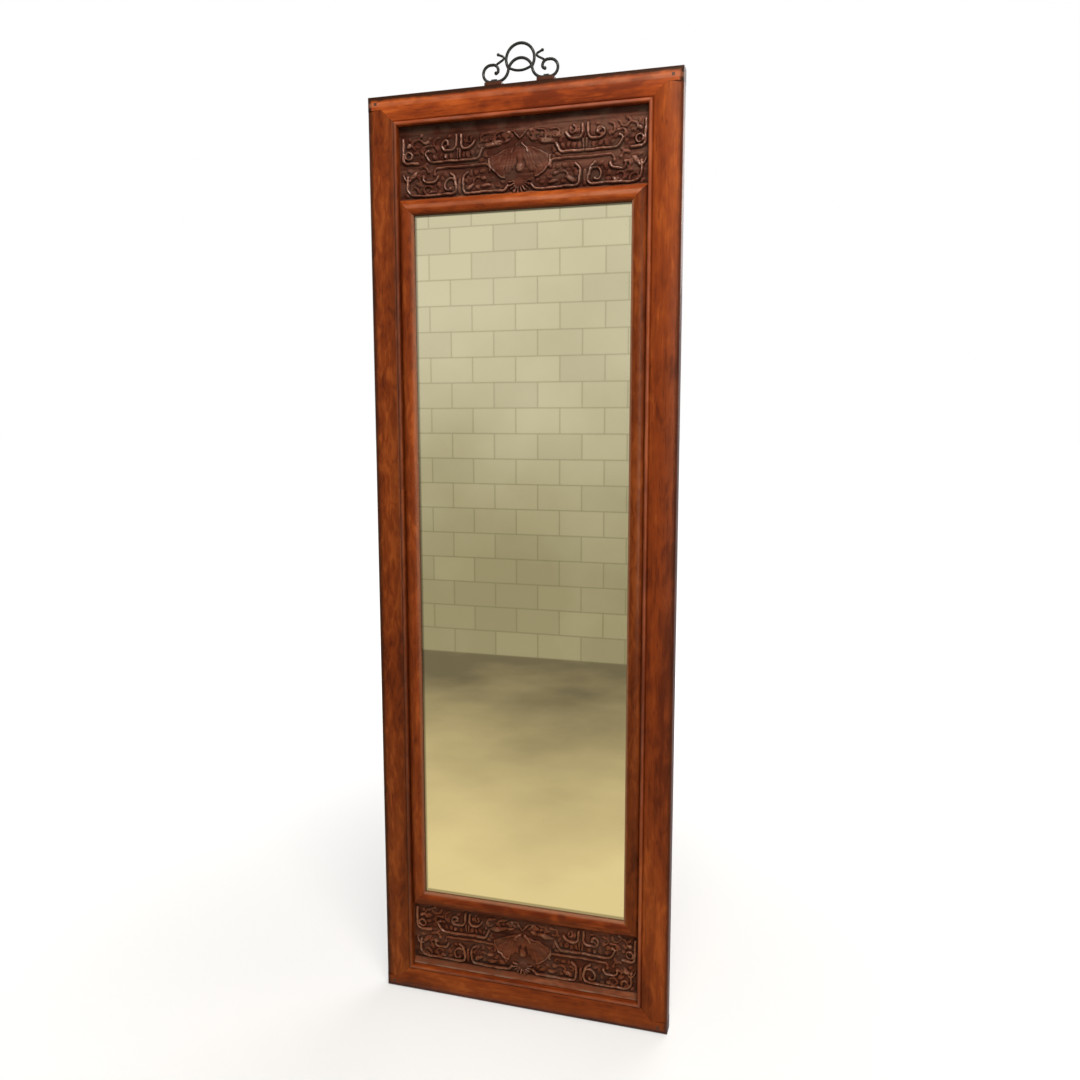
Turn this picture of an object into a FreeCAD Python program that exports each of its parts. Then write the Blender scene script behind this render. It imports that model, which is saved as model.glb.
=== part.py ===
import FreeCAD, Part
import math
import os
import re
import Sketcher
from FreeCAD import Placement, Rotation, Vector

# Tall hanging mirror: a carved hardwood frame, a moulded inner frame round the glass, a relief panel
# above and below it, and a folding wrought iron scroll hanger on the top rail.
# X runs to the right seen from the front, the front faces -Y, and Z goes up from the bottom edge.
# A depth is counted backwards from the front face of the outer frame.

# Driving dimensions in millimetres, angles in degrees.
SIZES = {
    "frame_width": 538,
    "frame_height": 1620,
    "frame_depth": 30,
    "stile_width": 54,
    "rail_width": 51,
    "outer_round": 6,
    "face_crown": 2.4,
    "back_chamfer": 2,
    "bead_width": 7,
    "bead_drop": 0.3,
    "quirk_width": 2,
    "groove_front": 14,
    "groove_width": 6,
    "groove_depth": 8,
    "tongue_length": 7,
    "tongue_clearance": 0.2,
    "shoulder_setback": 24,
    "tenon_inset": 10,
    "tenon_width": 28,
    "tenon_front": 10,
    "tenon_thickness": 10,
    "tenon_length": 16,
    "tenon_clearance": 0.2,
    "peg_size": 5,
    "peg_inset": 16,
    "peg_setback": 14,
    "peg_length": 25,
    "peg_clearance": 0.05,
    "panel_opening": 122,
    "panel_ground": 14,
    "panel_gap": 0.4,
    "relief_height": 5,
    "relief_sink": 1,
    "relief_offset": 6,
    "stroke_width": 4.6,
    "member_width": 25,
    "member_gap": 0.8,
    "member_setback": 2.5,
    "member_crown": 5,
    "rebate_width": 8,
    "glass_front": 11,
    "glass_thickness": 4,
    "glass_clearance": 1,
    "packing_length": 30,
    "packing_inset": 60,
    "spline_front": 8.3,
    "spline_thickness": 2,
    "spline_length": 14,
    "spline_width": 12,
    "spline_clearance": 0.05,
    "board_count": 3,
    "board_thickness": 6.5,
    "board_gap": 0.5,
    "batten_width": 36,
    "batten_thickness": 6,
    "batten_inset": 100,
    "batten_end_gap": 0.5,
    "screw_radius": 1.8,
    "screw_length": 14,
    "screw_inset": 8.5,
    "screw_spacing": 18,
    "head_radius": 3.4,
    "head_height": 2.2,
    "slot_width": 0.8,
    "slot_depth": 0.7,
    "screw_clearance": 0.05,
    "hanger_depth": 17,
    "pivot_height": 7.5,
    "rod_radius": 2.4,
    "rod_clearance": 0.05,
    "scroll_radius": 13.25,
    "bar_outer": 50.5,
    "bar_inner": 39,
    "scroll_lead": 3.5,
    "hook_radius": 9.3,
    "hook_tip_radius": 4,
    "knob_radius": 3,
    "bow_radius": 20.8,
    "bow_rise": 33.3,
    "ring_radius": 24,
    "ring_height": 32,
    "lower_rod_radius": 2.1,
    "lower_bow_height": 14,
    "lower_bow_angle": 20,
    "curl_start_out": 40.5,
    "curl_start_up": 26.7,
    "curl_heading": 29,
    "curl_length": 12.3,
    "curl_bend": 3,
    "curl_turn": 127,
    "curl_tip": 8.5,
    "curl_radius": 1.9,
    "curl_knob_radius": 2.6,
    "foot_length": 30,
    "foot_width": 20,
    "foot_gap": 0.3,
    "foot_round": 3,
    "strap_length": 9,
    "strap_thickness": 1.6,
    "strap_reach": 9.5,
    "strap_screw_radius": 1.3,
    "strap_screw_offset": 7,
    "strap_screw_bite": 10,
    "strap_head_radius": 2.3,
    "strap_head_height": 1.4,
}

# How far a cutting outline runs past the wood that it trims.
CUT_MARGIN = 1

# The relief is drawn for a field of this half width and height, and shrinks or grows with the panel.
DRAWN_HALF_WIDTH = 215
DRAWN_HEIGHT = 122

# Relief strokes of the right half of a panel, as drawn, from the panel's middle:
# start right of the middle, start above the middle, heading in degrees, and the steps of the path.
# A step is a straight length, or a (radius, turn) pair with turns to the left positive.
STROKES = {
    "lower inner frame": (17, -41, -58, [4, (8, 58), 66, (7.5, 95), 3]),
    "lower outer frame": (114.5, -36, -88, [4, (9, 88), 62, (12, 100), 3, (6, 190), 2]),
    "middle bar": (58.5, 21, -62, [11, (8, 62), 86, (9, 75), 3, (4.5, 190), 2]),
    "under bar": (52, -9.5, 55, [3, (9, -55), 86, (6, -120), 3]),
    "inner cup": (77, 36, -60, [2, (13, 60), 8, (9, 92), 10]),
    "outer cup": (116.5, 46, -92, [9, (10.5, 92), 5, (9.5, 150), 1, (4.6, 190), 2]),
    "side cup": (184, 8, 0, [12, (7.5, 130), 1, (4.6, 170), 2]),
    "side leaf": (186, -4, -58, [11, (6, 140), 2]),
    "low cup": (150, -18, -85, [2, (7, 85), 8, (6.5, 120), 2]),
    "small curl": (122, -15, -20, [4, (7, -120), 2, (4.6, -120), 1]),
    "leaf stem": (70, -36, 30, [4, (9, 75), 3, (5, 180), 2]),
    "corner curl": (170, 38, 15, [9, (8, -110), 2, (4.6, -170), 2]),
    "top curl": (60, 47, -10, [4, (5, -150), 1, (3.6, -120), 1]),
}

# Right half of the bat at the middle of each panel, from the head along the drooping wing to the tail fan.
BAT_OUTLINE = [
    (0, 24), (22, 18), (50, 7), (53, 1), (48, -12), (32, -27), (25, -28), (22, -21), (15, -15), (9, -15),
    (9, -31), (17, -40), (10, -50), (0, -53),
]

LEFT, RIGHT = -1, 1
BOTTOM, TOP = -1, 1
SIDE_NAMES = {LEFT: "left", RIGHT: "right"}
END_NAMES = {BOTTOM: "bottom", TOP: "top"}
SIZE_NAME = re.compile(r"[a-z]+(?:_[a-z]+)+")

doc = FreeCAD.newDocument("RobingMirror")
sheet = doc.addObject("Spreadsheet::Sheet", "Sizes")
for row, (size_name, size) in enumerate(SIZES.items(), start=1):
    sheet.set(f"A{row}", size_name)
    sheet.set(f"B{row}", str(size))
    sheet.setAlias(f"B{row}", size_name)
doc.recompute()
nodes = []


# Helpers

def linked(text):
    """Expression with every size name pointed at the sheet."""
    return SIZE_NAME.sub(lambda word: "Sizes." + word.group(0), str(text))


def value(text):
    """Number that an expression of size names gives."""
    result = sheet.evalExpression(str(text))
    return float(getattr(result, "Value", result))


def bind(item, expressions):
    """Tie properties of an object to expressions of size names."""
    for name, text in expressions.items():
        item.setExpression(name, linked(text))


def place(item, x=0, y=0, z=0):
    """Tie an object's position to expressions."""
    bind(item, {"Placement.Base.x": x, "Placement.Base.y": y, "Placement.Base.z": z})


def node(item, label):
    """Name a finished sub-part and list it for writing."""
    item.Label = label
    nodes.append(item)
    return item


def y_at(depth):
    """Expression of Y at a depth behind the front face."""
    return f"({depth}) - frame_depth / 2"


def new_body(name):
    """Empty body for one piece."""
    return doc.addObject("PartDesign::Body", name)


def new_sketch(body, role, offset=0):
    """Sketch on one of a body's origin planes, moved along the plane's normal."""
    plane = next(item for item in body.Origin.OriginFeatures if item.Role == role)
    sketch = body.newObject("Sketcher::SketchObject", "Sketch")
    sketch.AttachmentSupport = [(plane, "")]
    sketch.MapMode = "FlatFace"
    bind(sketch, {"AttachmentOffset.Base.z": offset})
    return sketch


def arc_between(start, end, radius):
    """Short arc from start to end, to the left for a positive radius and to the right for a negative one."""
    chord = end - start
    rise = math.sqrt(max(radius ** 2 - (chord.Length / 2) ** 2, 0))
    across = Vector(-chord.y, chord.x, 0).normalize() * math.copysign(rise, radius)
    centre = (start + end) * 0.5 + across
    first, last = (start, end) if radius > 0 else (end, start)
    first_angle = math.atan2(first.y - centre.y, first.x - centre.x)
    last_angle = math.atan2(last.y - centre.y, last.x - centre.x)
    circle = Part.Circle(centre, Vector(0, 0, 1), abs(radius))
    return Part.ArcOfCircle(circle, first_angle, last_angle)


def hold(sketch, constraint, text):
    """Add a constraint whose value is an expression."""
    index = sketch.addConstraint(constraint)
    sketch.setExpression(f"Constraints[{index}]", linked(text))


def outline(sketch, corners, closed=True):
    """Join corners by lines and arcs, with each corner held by two expressions.

    A corner is (x, y), or (x, y, radius) where an arc leads on to the next corner."""
    spots = [Vector(value(corner[0]), value(corner[1]), 0) for corner in corners]
    runs = []
    for index in range(len(corners) if closed else len(corners) - 1):
        start, end = spots[index], spots[(index + 1) % len(spots)]
        if len(corners[index]) == 2:
            runs.append((sketch.addGeometry(Part.LineSegment(start, end), False), 1, 2))
            continue
        radius = value(corners[index][2])
        arc = sketch.addGeometry(arc_between(start, end, radius), False)
        runs.append((arc, 1, 2) if radius > 0 else (arc, 2, 1))
    for index in range(len(runs) if closed else len(runs) - 1):
        here, after = runs[index], runs[(index + 1) % len(runs)]
        sketch.addConstraint(Sketcher.Constraint("Coincident", here[0], here[2], after[0], after[1]))
    points = [(run[0], run[1]) for run in runs]
    if not closed:
        points.append((runs[-1][0], runs[-1][2]))
    for (curve, end_mark), corner, spot in zip(points, corners, spots):
        hold(sketch, Sketcher.Constraint("DistanceX", -1, 1, curve, end_mark, spot.x), corner[0])
        hold(sketch, Sketcher.Constraint("DistanceY", -1, 1, curve, end_mark, spot.y), corner[1])
    for run, corner in zip(runs, corners):
        if len(corner) == 3:
            radius = abs(value(corner[2]))
            hold(sketch, Sketcher.Constraint("Radius", run[0], radius), f"abs({corner[2]})")


def pad(body, sketch, length, symmetric=False):
    """Pad a sketch by an expression of length."""
    feature = body.newObject("PartDesign::Pad", "Pad")
    feature.Profile = sketch
    feature.SideType = "Symmetric" if symmetric else "One side"
    bind(feature, {"Length": length})
    doc.recompute()


def cutting(body, feature):
    """Recompute a feature that removes material, and see that it did."""
    before = feature.BaseFeature.Shape.Volume
    doc.recompute()
    if body.Shape.Volume >= before:
        raise RuntimeError(f"{feature.Name} removes nothing from {body.Name}")


def pocket(body, sketch):
    """Cut a sketch right through a body, both ways."""
    feature = body.newObject("PartDesign::Pocket", "Pocket")
    feature.Profile = sketch
    feature.Type = "ThroughAll"
    feature.SideType = "Symmetric"
    cutting(body, feature)


def box_in(body, kind, corner, size):
    """Box added to a body or cut from it, from its low corner and its size."""
    feature = body.newObject(f"PartDesign::{kind}Box", f"{kind}Box")
    place(feature, *corner)
    bind(feature, {"Length": size[0], "Width": size[1], "Height": size[2]})
    if kind == "Subtractive":
        cutting(body, feature)
    else:
        doc.recompute()
    return feature


def hole(body, foot, axis, radius, length):
    """Round hole cut from a body, from its foot along an axis."""
    feature = body.newObject("PartDesign::SubtractiveCylinder", "Hole")
    feature.Placement = Placement(Vector(), Rotation(Vector(0, 0, 1), axis))
    place(feature, *foot)
    bind(feature, {"Radius": radius, "Height": length})
    cutting(body, feature)


def block(name, corner, size):
    """Plain rectangular piece from its low corner and its size."""
    item = doc.addObject("Part::Box", name)
    place(item, *corner)
    bind(item, {"Length": size[0], "Width": size[1], "Height": size[2]})
    return item


def joined(name, pieces):
    """One solid from several."""
    item = doc.addObject("Part::MultiFuse", name)
    item.Shapes = pieces
    item.Refine = True
    return item


def trimmed(name, base, tools):
    """A piece cut away where other pieces stand."""
    for tool in tools:
        item = doc.addObject("Part::Cut", name)
        item.Base = base
        item.Tool = tool
        item.Refine = False
        base = item
    return base


def group(name, pieces):
    """Several alike pieces in one node."""
    item = doc.addObject("Part::Compound", name)
    item.Links = pieces
    return item


# Outer frame

HALF_OPENING = "frame_width / 2 - stile_width"
MITRE_RUN = "rail_width - shoulder_setback"
BEAD_RADIUS = "bead_width / 2"
BEAD_FOOT = f"bead_drop + {BEAD_RADIUS}"


def frame_section(width, point, turn):
    """Section of the outer frame: round outer edge, crowned face, quirk, bead and panel groove.

    point gives a corner from its distance to the outer edge and its depth."""
    face_end = f"{width} - bead_width - quirk_width"
    half_face = f"({face_end} - outer_round) / 2"
    face_radius = f"{turn} * (({half_face}) ^ 2 + face_crown ^ 2) / (2 * face_crown)"
    bead = f"{turn} * {BEAD_RADIUS}"
    groove_back = "groove_front + groove_width"
    return [
        point("0", "outer_round + face_crown") + (f"{turn} * outer_round",),
        point("outer_round", "face_crown") + (face_radius,),
        point(face_end, "face_crown"),
        point(f"{width} - bead_width", BEAD_FOOT) + (bead,),
        point(f"{width} - {BEAD_RADIUS}", "bead_drop") + (bead,),
        point(width, BEAD_FOOT),
        point(width, "groove_front"),
        point(f"{width} - groove_depth", "groove_front"),
        point(f"{width} - groove_depth", groove_back),
        point(width, groove_back),
        point(width, "frame_depth"),
        point("back_chamfer", "frame_depth"),
        point("0", "frame_depth - back_chamfer"),
    ]


def from_end(end, distance):
    """Expression of Z at a distance in from the top or bottom edge."""
    return f"frame_height - ({distance})" if end == TOP else f"{distance}"


def from_side(side, distance):
    """Expression of X at a distance in from the left or right edge."""
    return f"{side} * (frame_width / 2 - ({distance}))"


def low_end(end, near, far):
    """Lower Z of a span that lies between two distances from the top or bottom edge."""
    return from_end(end, far if end == TOP else near)


def low_side(side, near, far):
    """Lower X of a span that lies between two distances from the left or right edge."""
    return from_side(side, far if side == RIGHT else near)


def peg_hole(body, side, end):
    """Square hole for a corner peg, from the front face."""
    size = "peg_size + 2 * peg_clearance"
    half = "(peg_size / 2 + peg_clearance)"
    corner = (low_side(side, f"peg_inset - {half}", f"peg_inset + {half}"), y_at(-CUT_MARGIN),
              low_end(end, f"peg_setback - {half}", f"peg_setback + {half}"))
    box_in(body, "Subtractive", corner, (size, f"peg_length + peg_clearance + {CUT_MARGIN}", size))


def make_stile(side):
    """Upright of the outer frame, mitred inside and square-shouldered outside, with a tenon at each end."""
    body = new_body("Stile")
    profile = new_sketch(body, "XY_Plane", "shoulder_setback")
    outline(profile, frame_section("stile_width", lambda u, d: (from_side(side, u), y_at(d)), -side))
    pad(body, profile, "frame_height - 2 * shoulder_setback")
    mitres = new_sketch(body, "XZ_Plane")
    for end in (BOTTOM, TOP):
        inner = from_side(side, f"stile_width + {CUT_MARGIN}")
        beyond = from_end(end, f"shoulder_setback - {CUT_MARGIN}")
        outline(mitres, [
            (inner, from_end(end, f"rail_width + {CUT_MARGIN}")),
            (inner, beyond),
            (from_side(side, f"stile_width - ({MITRE_RUN}) - {CUT_MARGIN}"), beyond),
        ])
    pocket(body, mitres)
    tenon_foot = "shoulder_setback - tenon_length"
    corner = (low_side(side, "tenon_inset", "tenon_inset + tenon_width"), y_at("tenon_front"), tenon_foot)
    box_in(body, "Additive", corner, ("tenon_width", "tenon_thickness", f"frame_height - 2 * ({tenon_foot})"))
    for end in (BOTTOM, TOP):
        peg_hole(body, side, end)
    node(body, f"{SIDE_NAMES[side]}_stile")


def make_rail(end):
    """Cross piece of the outer frame, full width, cut to the stiles' shoulders and mortised for tenons."""
    body = new_body("Rail")
    profile = new_sketch(body, "YZ_Plane")
    outline(profile, frame_section("rail_width", lambda v, d: (y_at(d), from_end(end, v)), end))
    pad(body, profile, "frame_width", symmetric=True)
    rounding = new_sketch(body, "XY_Plane")
    corners = new_sketch(body, "XZ_Plane")
    round_radius = "outer_round + face_crown"
    for side in (LEFT, RIGHT):
        outline(rounding, [
            (from_side(side, round_radius), y_at("0")),
            (from_side(side, round_radius), y_at(-CUT_MARGIN)),
            (from_side(side, -CUT_MARGIN), y_at(-CUT_MARGIN)),
            (from_side(side, -CUT_MARGIN), y_at(round_radius)),
            (from_side(side, 0), y_at(round_radius), f"{-side} * ({round_radius})"),
        ])
        below = from_end(end, f"rail_width + {CUT_MARGIN}")
        shoulder = from_end(end, "shoulder_setback")
        outline(corners, [
            (from_side(side, f"stile_width + {CUT_MARGIN}"), below),
            (from_side(side, f"stile_width - ({MITRE_RUN})"), shoulder),
            (from_side(side, -CUT_MARGIN), shoulder),
            (from_side(side, -CUT_MARGIN), below),
        ])
    pocket(body, rounding)
    pocket(body, corners)
    mortise_end = "shoulder_setback - tenon_length - tenon_clearance"
    for side in (LEFT, RIGHT):
        near = "tenon_inset - tenon_clearance"
        far = "tenon_inset + tenon_width + tenon_clearance"
        corner = (low_side(side, near, far), y_at("tenon_front - tenon_clearance"),
                  low_end(end, mortise_end, f"rail_width + {CUT_MARGIN}"))
        size = ("tenon_width + 2 * tenon_clearance", "tenon_thickness + 2 * tenon_clearance",
                f"rail_width + {CUT_MARGIN} - ({mortise_end})")
        box_in(body, "Subtractive", corner, size)
        peg_hole(body, side, end)
    if end == TOP:
        for side in (LEFT, RIGHT):
            for offset in STRAP_SCREW_OFFSETS:
                foot = (f"{side} * ({BAR_MIDDLE})", f"{HANGER_Y} + {offset}",
                        f"frame_height - strap_screw_bite - {CUT_MARGIN}")
                hole(body, foot, Vector(0, 0, 1), "strap_screw_radius + screw_clearance",
                     f"strap_screw_bite + 2 * {CUT_MARGIN}")
    node(body, f"{END_NAMES[end]}_rail")


def make_peg(side, end):
    """Square peg driven through the rail and the tenon, its end level with the crowned face."""
    start = "face_crown / 4"
    corner = (low_side(side, "peg_inset - peg_size / 2", "peg_inset + peg_size / 2"), y_at(start),
              low_end(end, "peg_setback - peg_size / 2", "peg_setback + peg_size / 2"))
    node(block("Peg", corner, ("peg_size", f"peg_length - {start}", "peg_size")),
         f"{END_NAMES[end]}_{SIDE_NAMES[side]}_peg")


# Inner frame round the glass

MEMBER_EDGE = "rail_width + panel_opening"
MEMBER_SIDE = "stile_width + member_gap"
SIGHT_HALF = f"frame_width / 2 - ({MEMBER_SIDE}) - member_width"
SIGHT_EDGE = f"{MEMBER_EDGE} + member_width"
MEMBER_BACK = "glass_front + glass_thickness + board_gap + board_thickness"
TONGUE_FRONT = "groove_front + tongue_clearance"
TONGUE_BACK = "groove_front + groove_width - tongue_clearance"
BATTEN_BACK = f"{MEMBER_BACK} + batten_thickness"


def member_section(point, turn, key):
    """Section of the inner frame: half-round face, sight lip, glass rebate and the key on its outer edge."""
    edge = "member_setback + member_crown"
    radius = f"{turn} * (member_width ^ 2 / 4 + member_crown ^ 2) / (2 * member_crown)"
    rebate = "member_width - rebate_width"
    return [
        point("0", edge) + (radius,),
        point("member_width", edge),
        point("member_width", "glass_front"),
        point(rebate, "glass_front"),
        point(rebate, MEMBER_BACK),
        point("0", MEMBER_BACK),
    ] + [point(v, d) for v, d in key]


def spline_centre(side, end):
    """Middle of the mitre of one corner of the inner frame."""
    return (from_side(side, f"{MEMBER_SIDE} + member_width / 2"),
            from_end(end, f"{MEMBER_EDGE} + member_width / 2"))


def spline_box(item, side, end, clearance):
    """Size a box as a spline, with room round it, and lay its length square across a mitre."""
    length, width = f"(spline_length + 2 * {clearance})", f"(spline_width + 2 * {clearance})"
    lean = side * end
    item.Placement = Placement(Vector(), Rotation(Vector(0, 1, 0), lean * 45))
    bind(item, {"Length": length, "Width": f"spline_thickness + 2 * {clearance}", "Height": width})
    x_middle, z_middle = spline_centre(side, end)
    place(item,
          f"{x_middle} - ({length} + {lean} * {width}) * cos(45) / 2",
          f"{y_at('spline_front')} - {clearance}",
          f"{z_middle} - ({width} - {lean} * {length}) * cos(45) / 2")


def spline_slot(body, side, end):
    """Slot for a spline in the mitred end of a member."""
    feature = body.newObject("PartDesign::SubtractiveBox", "Slot")
    spline_box(feature, side, end, "spline_clearance")
    cutting(body, feature)


def make_side_member(side):
    """Upright of the inner frame, tongued into the stile and mitred at both ends."""
    body = new_body("SideMember")
    profile = new_sketch(body, "XY_Plane", MEMBER_EDGE)
    tongue = [("0", TONGUE_BACK), ("-tongue_length", TONGUE_BACK),
              ("-tongue_length", TONGUE_FRONT), ("0", TONGUE_FRONT)]
    outline(profile, member_section(
        lambda v, d: (from_side(side, f"{MEMBER_SIDE} + ({v})"), y_at(d)), -side, tongue))
    pad(body, profile, f"frame_height - 2 * ({MEMBER_EDGE})")
    mitres = new_sketch(body, "XZ_Plane")
    inner = from_side(side, f"{MEMBER_SIDE} + member_width + {CUT_MARGIN}")
    for end in (BOTTOM, TOP):
        beyond = from_end(end, f"{MEMBER_EDGE} - {CUT_MARGIN}")
        outline(mitres, [
            (from_side(side, f"{MEMBER_SIDE} - {CUT_MARGIN}"), beyond),
            (inner, beyond),
            (inner, from_end(end, f"{SIGHT_EDGE} + {CUT_MARGIN}")),
        ])
    pocket(body, mitres)
    for end in (BOTTOM, TOP):
        spline_slot(body, side, end)
    for x_screw, z_screw in batten_screw_places(side):
        foot = (x_screw, y_at(f"{BATTEN_BACK} - screw_length - {CUT_MARGIN}"), z_screw)
        hole(body, foot, Vector(0, 1, 0), "screw_radius + screw_clearance", f"screw_length + {CUT_MARGIN}")
    node(body, f"mirror_frame_{SIDE_NAMES[side]}_stile")


def make_end_member(end):
    """Cross piece of the inner frame, grooved for the relief panel and mitred at both ends."""
    body = new_body("EndMember")
    profile = new_sketch(body, "YZ_Plane")
    groove_back = "groove_front + groove_width"
    groove = [("0", groove_back), ("groove_depth", groove_back),
              ("groove_depth", "groove_front"), ("0", "groove_front")]
    outline(profile, member_section(
        lambda v, d: (y_at(d), from_end(end, f"{MEMBER_EDGE} + ({v})")), end, groove))
    pad(body, profile, f"frame_width - 2 * ({MEMBER_SIDE})", symmetric=True)
    mitres = new_sketch(body, "XZ_Plane")
    inside = from_end(end, f"{SIGHT_EDGE} + {CUT_MARGIN}")
    for side in (LEFT, RIGHT):
        beyond = from_side(side, f"{MEMBER_SIDE} - {CUT_MARGIN}")
        outline(mitres, [
            (beyond, from_end(end, f"{MEMBER_EDGE} - {CUT_MARGIN}")),
            (beyond, inside),
            (from_side(side, f"{MEMBER_SIDE} + member_width + {CUT_MARGIN}"), inside),
        ])
    pocket(body, mitres)
    for side in (LEFT, RIGHT):
        spline_slot(body, side, end)
    node(body, f"mirror_frame_{END_NAMES[end]}_rail")


def make_splines():
    """Loose tongues glued across the four mitres of the inner frame."""
    pieces = []
    for side in (LEFT, RIGHT):
        for end in (BOTTOM, TOP):
            item = doc.addObject("Part::Box", "Spline")
            spline_box(item, side, end, "0")
            pieces.append(item)
    node(group("Splines", pieces), "mitre_splines")


# Glass and backing

GLASS_HALF = f"{SIGHT_HALF} + rebate_width - glass_clearance"
GLASS_FOOT = f"{SIGHT_EDGE} - rebate_width + glass_clearance"
BOARD_FOOT = f"({SIGHT_EDGE} - rebate_width + board_gap)"


def make_glass():
    """Silvered glass plate in the rebate of the inner frame."""
    corner = (f"-({GLASS_HALF})", y_at("glass_front"), GLASS_FOOT)
    size = (f"2 * ({GLASS_HALF})", "glass_thickness", f"frame_height - 2 * ({GLASS_FOOT})")
    node(block("Glass", corner, size), "mirror_glass")


def make_packing_blocks():
    """Slips that centre the glass in its rebate, two on each edge."""
    pieces = []
    depth = y_at("glass_front")
    for end in (BOTTOM, TOP):
        z_low = low_end(end, f"({GLASS_FOOT}) - glass_clearance", GLASS_FOOT)
        for side in (LEFT, RIGHT):
            x_low = f"{side} * ({GLASS_HALF} - packing_inset) - packing_length / 2"
            pieces.append(block("EndSlip", (x_low, depth, z_low),
                                ("packing_length", "glass_thickness", "glass_clearance")))
            near_edge = f"({GLASS_HALF})" if side == RIGHT else f"-({GLASS_HALF}) - glass_clearance"
            z_side = f"{from_end(end, f'({GLASS_FOOT}) + packing_inset')} - packing_length / 2"
            pieces.append(block("SideSlip", (near_edge, depth, z_side),
                                ("glass_clearance", "glass_thickness", "packing_length")))
    node(group("PackingBlocks", pieces), "glass_packing_blocks")


def make_back_boards():
    """Upright boards side by side behind the glass."""
    count = int(value("board_count"))
    half = f"({SIGHT_HALF} + rebate_width - board_gap)"
    width = f"((2 * {half} - (board_count - 1) * board_gap) / board_count)"
    front = y_at(f"{MEMBER_BACK} - board_thickness")
    for index in range(count):
        corner = (f"{index} * ({width} + board_gap) - {half}", front, BOARD_FOOT)
        size = (width, "board_thickness", f"frame_height - 2 * {BOARD_FOOT}")
        node(block("BackBoard", corner, size), f"back_board_{index + 1}")


BATTEN_HEIGHTS = {
    "lower": from_end(BOTTOM, f"{BOARD_FOOT} + batten_inset"),
    "middle": "frame_height / 2",
    "upper": from_end(TOP, f"{BOARD_FOOT} + batten_inset"),
}


def batten_screw_places(side):
    """X and Z of the screws that hold the battens on one side."""
    x_screw = from_side(side, f"{MEMBER_SIDE} + screw_inset")
    return [(x_screw, f"{height} + {tier} * screw_spacing / 2")
            for height in BATTEN_HEIGHTS.values() for tier in (-1, 1)]


def make_batten(name, height):
    """Cross batten that keeps the back boards in place, screwed to the inner frame."""
    body = new_body("Batten")
    half = f"({HALF_OPENING} - batten_end_gap)"
    corner = (f"-{half}", y_at(MEMBER_BACK), f"{height} - batten_width / 2")
    box_in(body, "Additive", corner, (f"2 * {half}", "batten_thickness", "batten_width"))
    for side in (LEFT, RIGHT):
        for tier in (-1, 1):
            x_screw = from_side(side, f"{MEMBER_SIDE} + screw_inset")
            z_screw = f"{height} + {tier} * screw_spacing / 2"
            foot = (x_screw, y_at(f"{MEMBER_BACK} - {CUT_MARGIN}"), z_screw)
            hole(body, foot, Vector(0, 1, 0), "screw_radius + screw_clearance",
                 f"batten_thickness + 2 * {CUT_MARGIN}")
            sink = body.newObject("PartDesign::SubtractiveCone", "Countersink")
            sink.Placement = Placement(Vector(), Rotation(Vector(0, 0, 1), Vector(0, 1, 0)))
            place(sink, x_screw, y_at(f"{BATTEN_BACK} - head_height"), z_screw)
            bind(sink, {"Radius1": "screw_radius + screw_clearance",
                        "Radius2": "head_radius + screw_clearance", "Height": "head_height"})
            cutting(body, sink)
    node(body, f"{name}_batten")


def make_batten_screws():
    """Countersunk slotted wood screws through the battens."""
    pieces = []
    along = Placement(Vector(), Rotation(Vector(0, 0, 1), Vector(0, 1, 0)))
    for side in (LEFT, RIGHT):
        for x_screw, z_screw in batten_screw_places(side):
            shank = doc.addObject("Part::Cylinder", "Shank")
            shank.Placement = along
            place(shank, x_screw, y_at(f"{BATTEN_BACK} - screw_length"), z_screw)
            bind(shank, {"Radius": "screw_radius", "Height": "screw_length - head_height"})
            head = doc.addObject("Part::Cone", "Head")
            head.Placement = along
            place(head, x_screw, y_at(f"{BATTEN_BACK} - head_height"), z_screw)
            bind(head, {"Radius1": "screw_radius", "Radius2": "head_radius", "Height": "head_height"})
            slot = block("Slot", (f"{x_screw} - head_radius", y_at(f"{BATTEN_BACK} - slot_depth"),
                                  f"{z_screw} - slot_width / 2"),
                         ("2 * head_radius", f"slot_depth + {CUT_MARGIN}", "slot_width"))
            pieces.append(trimmed("Screw", joined("ScrewBlank", [shank, head]), [slot]))
    node(group("BattenScrews", pieces), "batten_screws")


# Relief panels

def ribbon(stroke, width, scale):
    """Flat ribbon of even width with round ends, along a scaled path of straight runs and arcs."""
    start_x, start_z, heading, steps = stroke
    half = width / 2
    spot = Vector(start_x, 0, start_z) * scale
    angle = math.radians(heading)

    def along(direction):
        return Vector(math.cos(direction), 0, math.sin(direction))

    def across(direction):
        return Vector(-math.sin(direction), 0, math.cos(direction))

    left, right = [], []
    first_spot, first_angle = spot, angle
    for step in steps:
        if isinstance(step, tuple):
            radius, turn = math.copysign(step[0] * scale, step[1]), math.radians(step[1])
            centre = spot + across(angle) * radius
            angles = (angle, angle + turn / 2, angle + turn)
            for edges, offset in ((left, half - radius), (right, -half - radius)):
                edges.append(Part.Arc(*(centre + across(item) * offset for item in angles)).toShape())
            angle += turn
            spot = centre - across(angle) * radius
        else:
            end = spot + along(angle) * step * scale
            for edges, offset in ((left, half), (right, -half)):
                shift = across(angle) * offset
                edges.append(Part.makeLine(spot + shift, end + shift))
            spot = end
    caps = [
        Part.Arc(spot + across(angle) * half, spot + along(angle) * half,
                 spot - across(angle) * half).toShape(),
        Part.Arc(first_spot + across(first_angle) * half, first_spot - along(first_angle) * half,
                 first_spot - across(first_angle) * half).toShape(),
    ]
    return Part.Face(Part.Wire(Part.sortEdges(left + right + caps)[0]))


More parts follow.
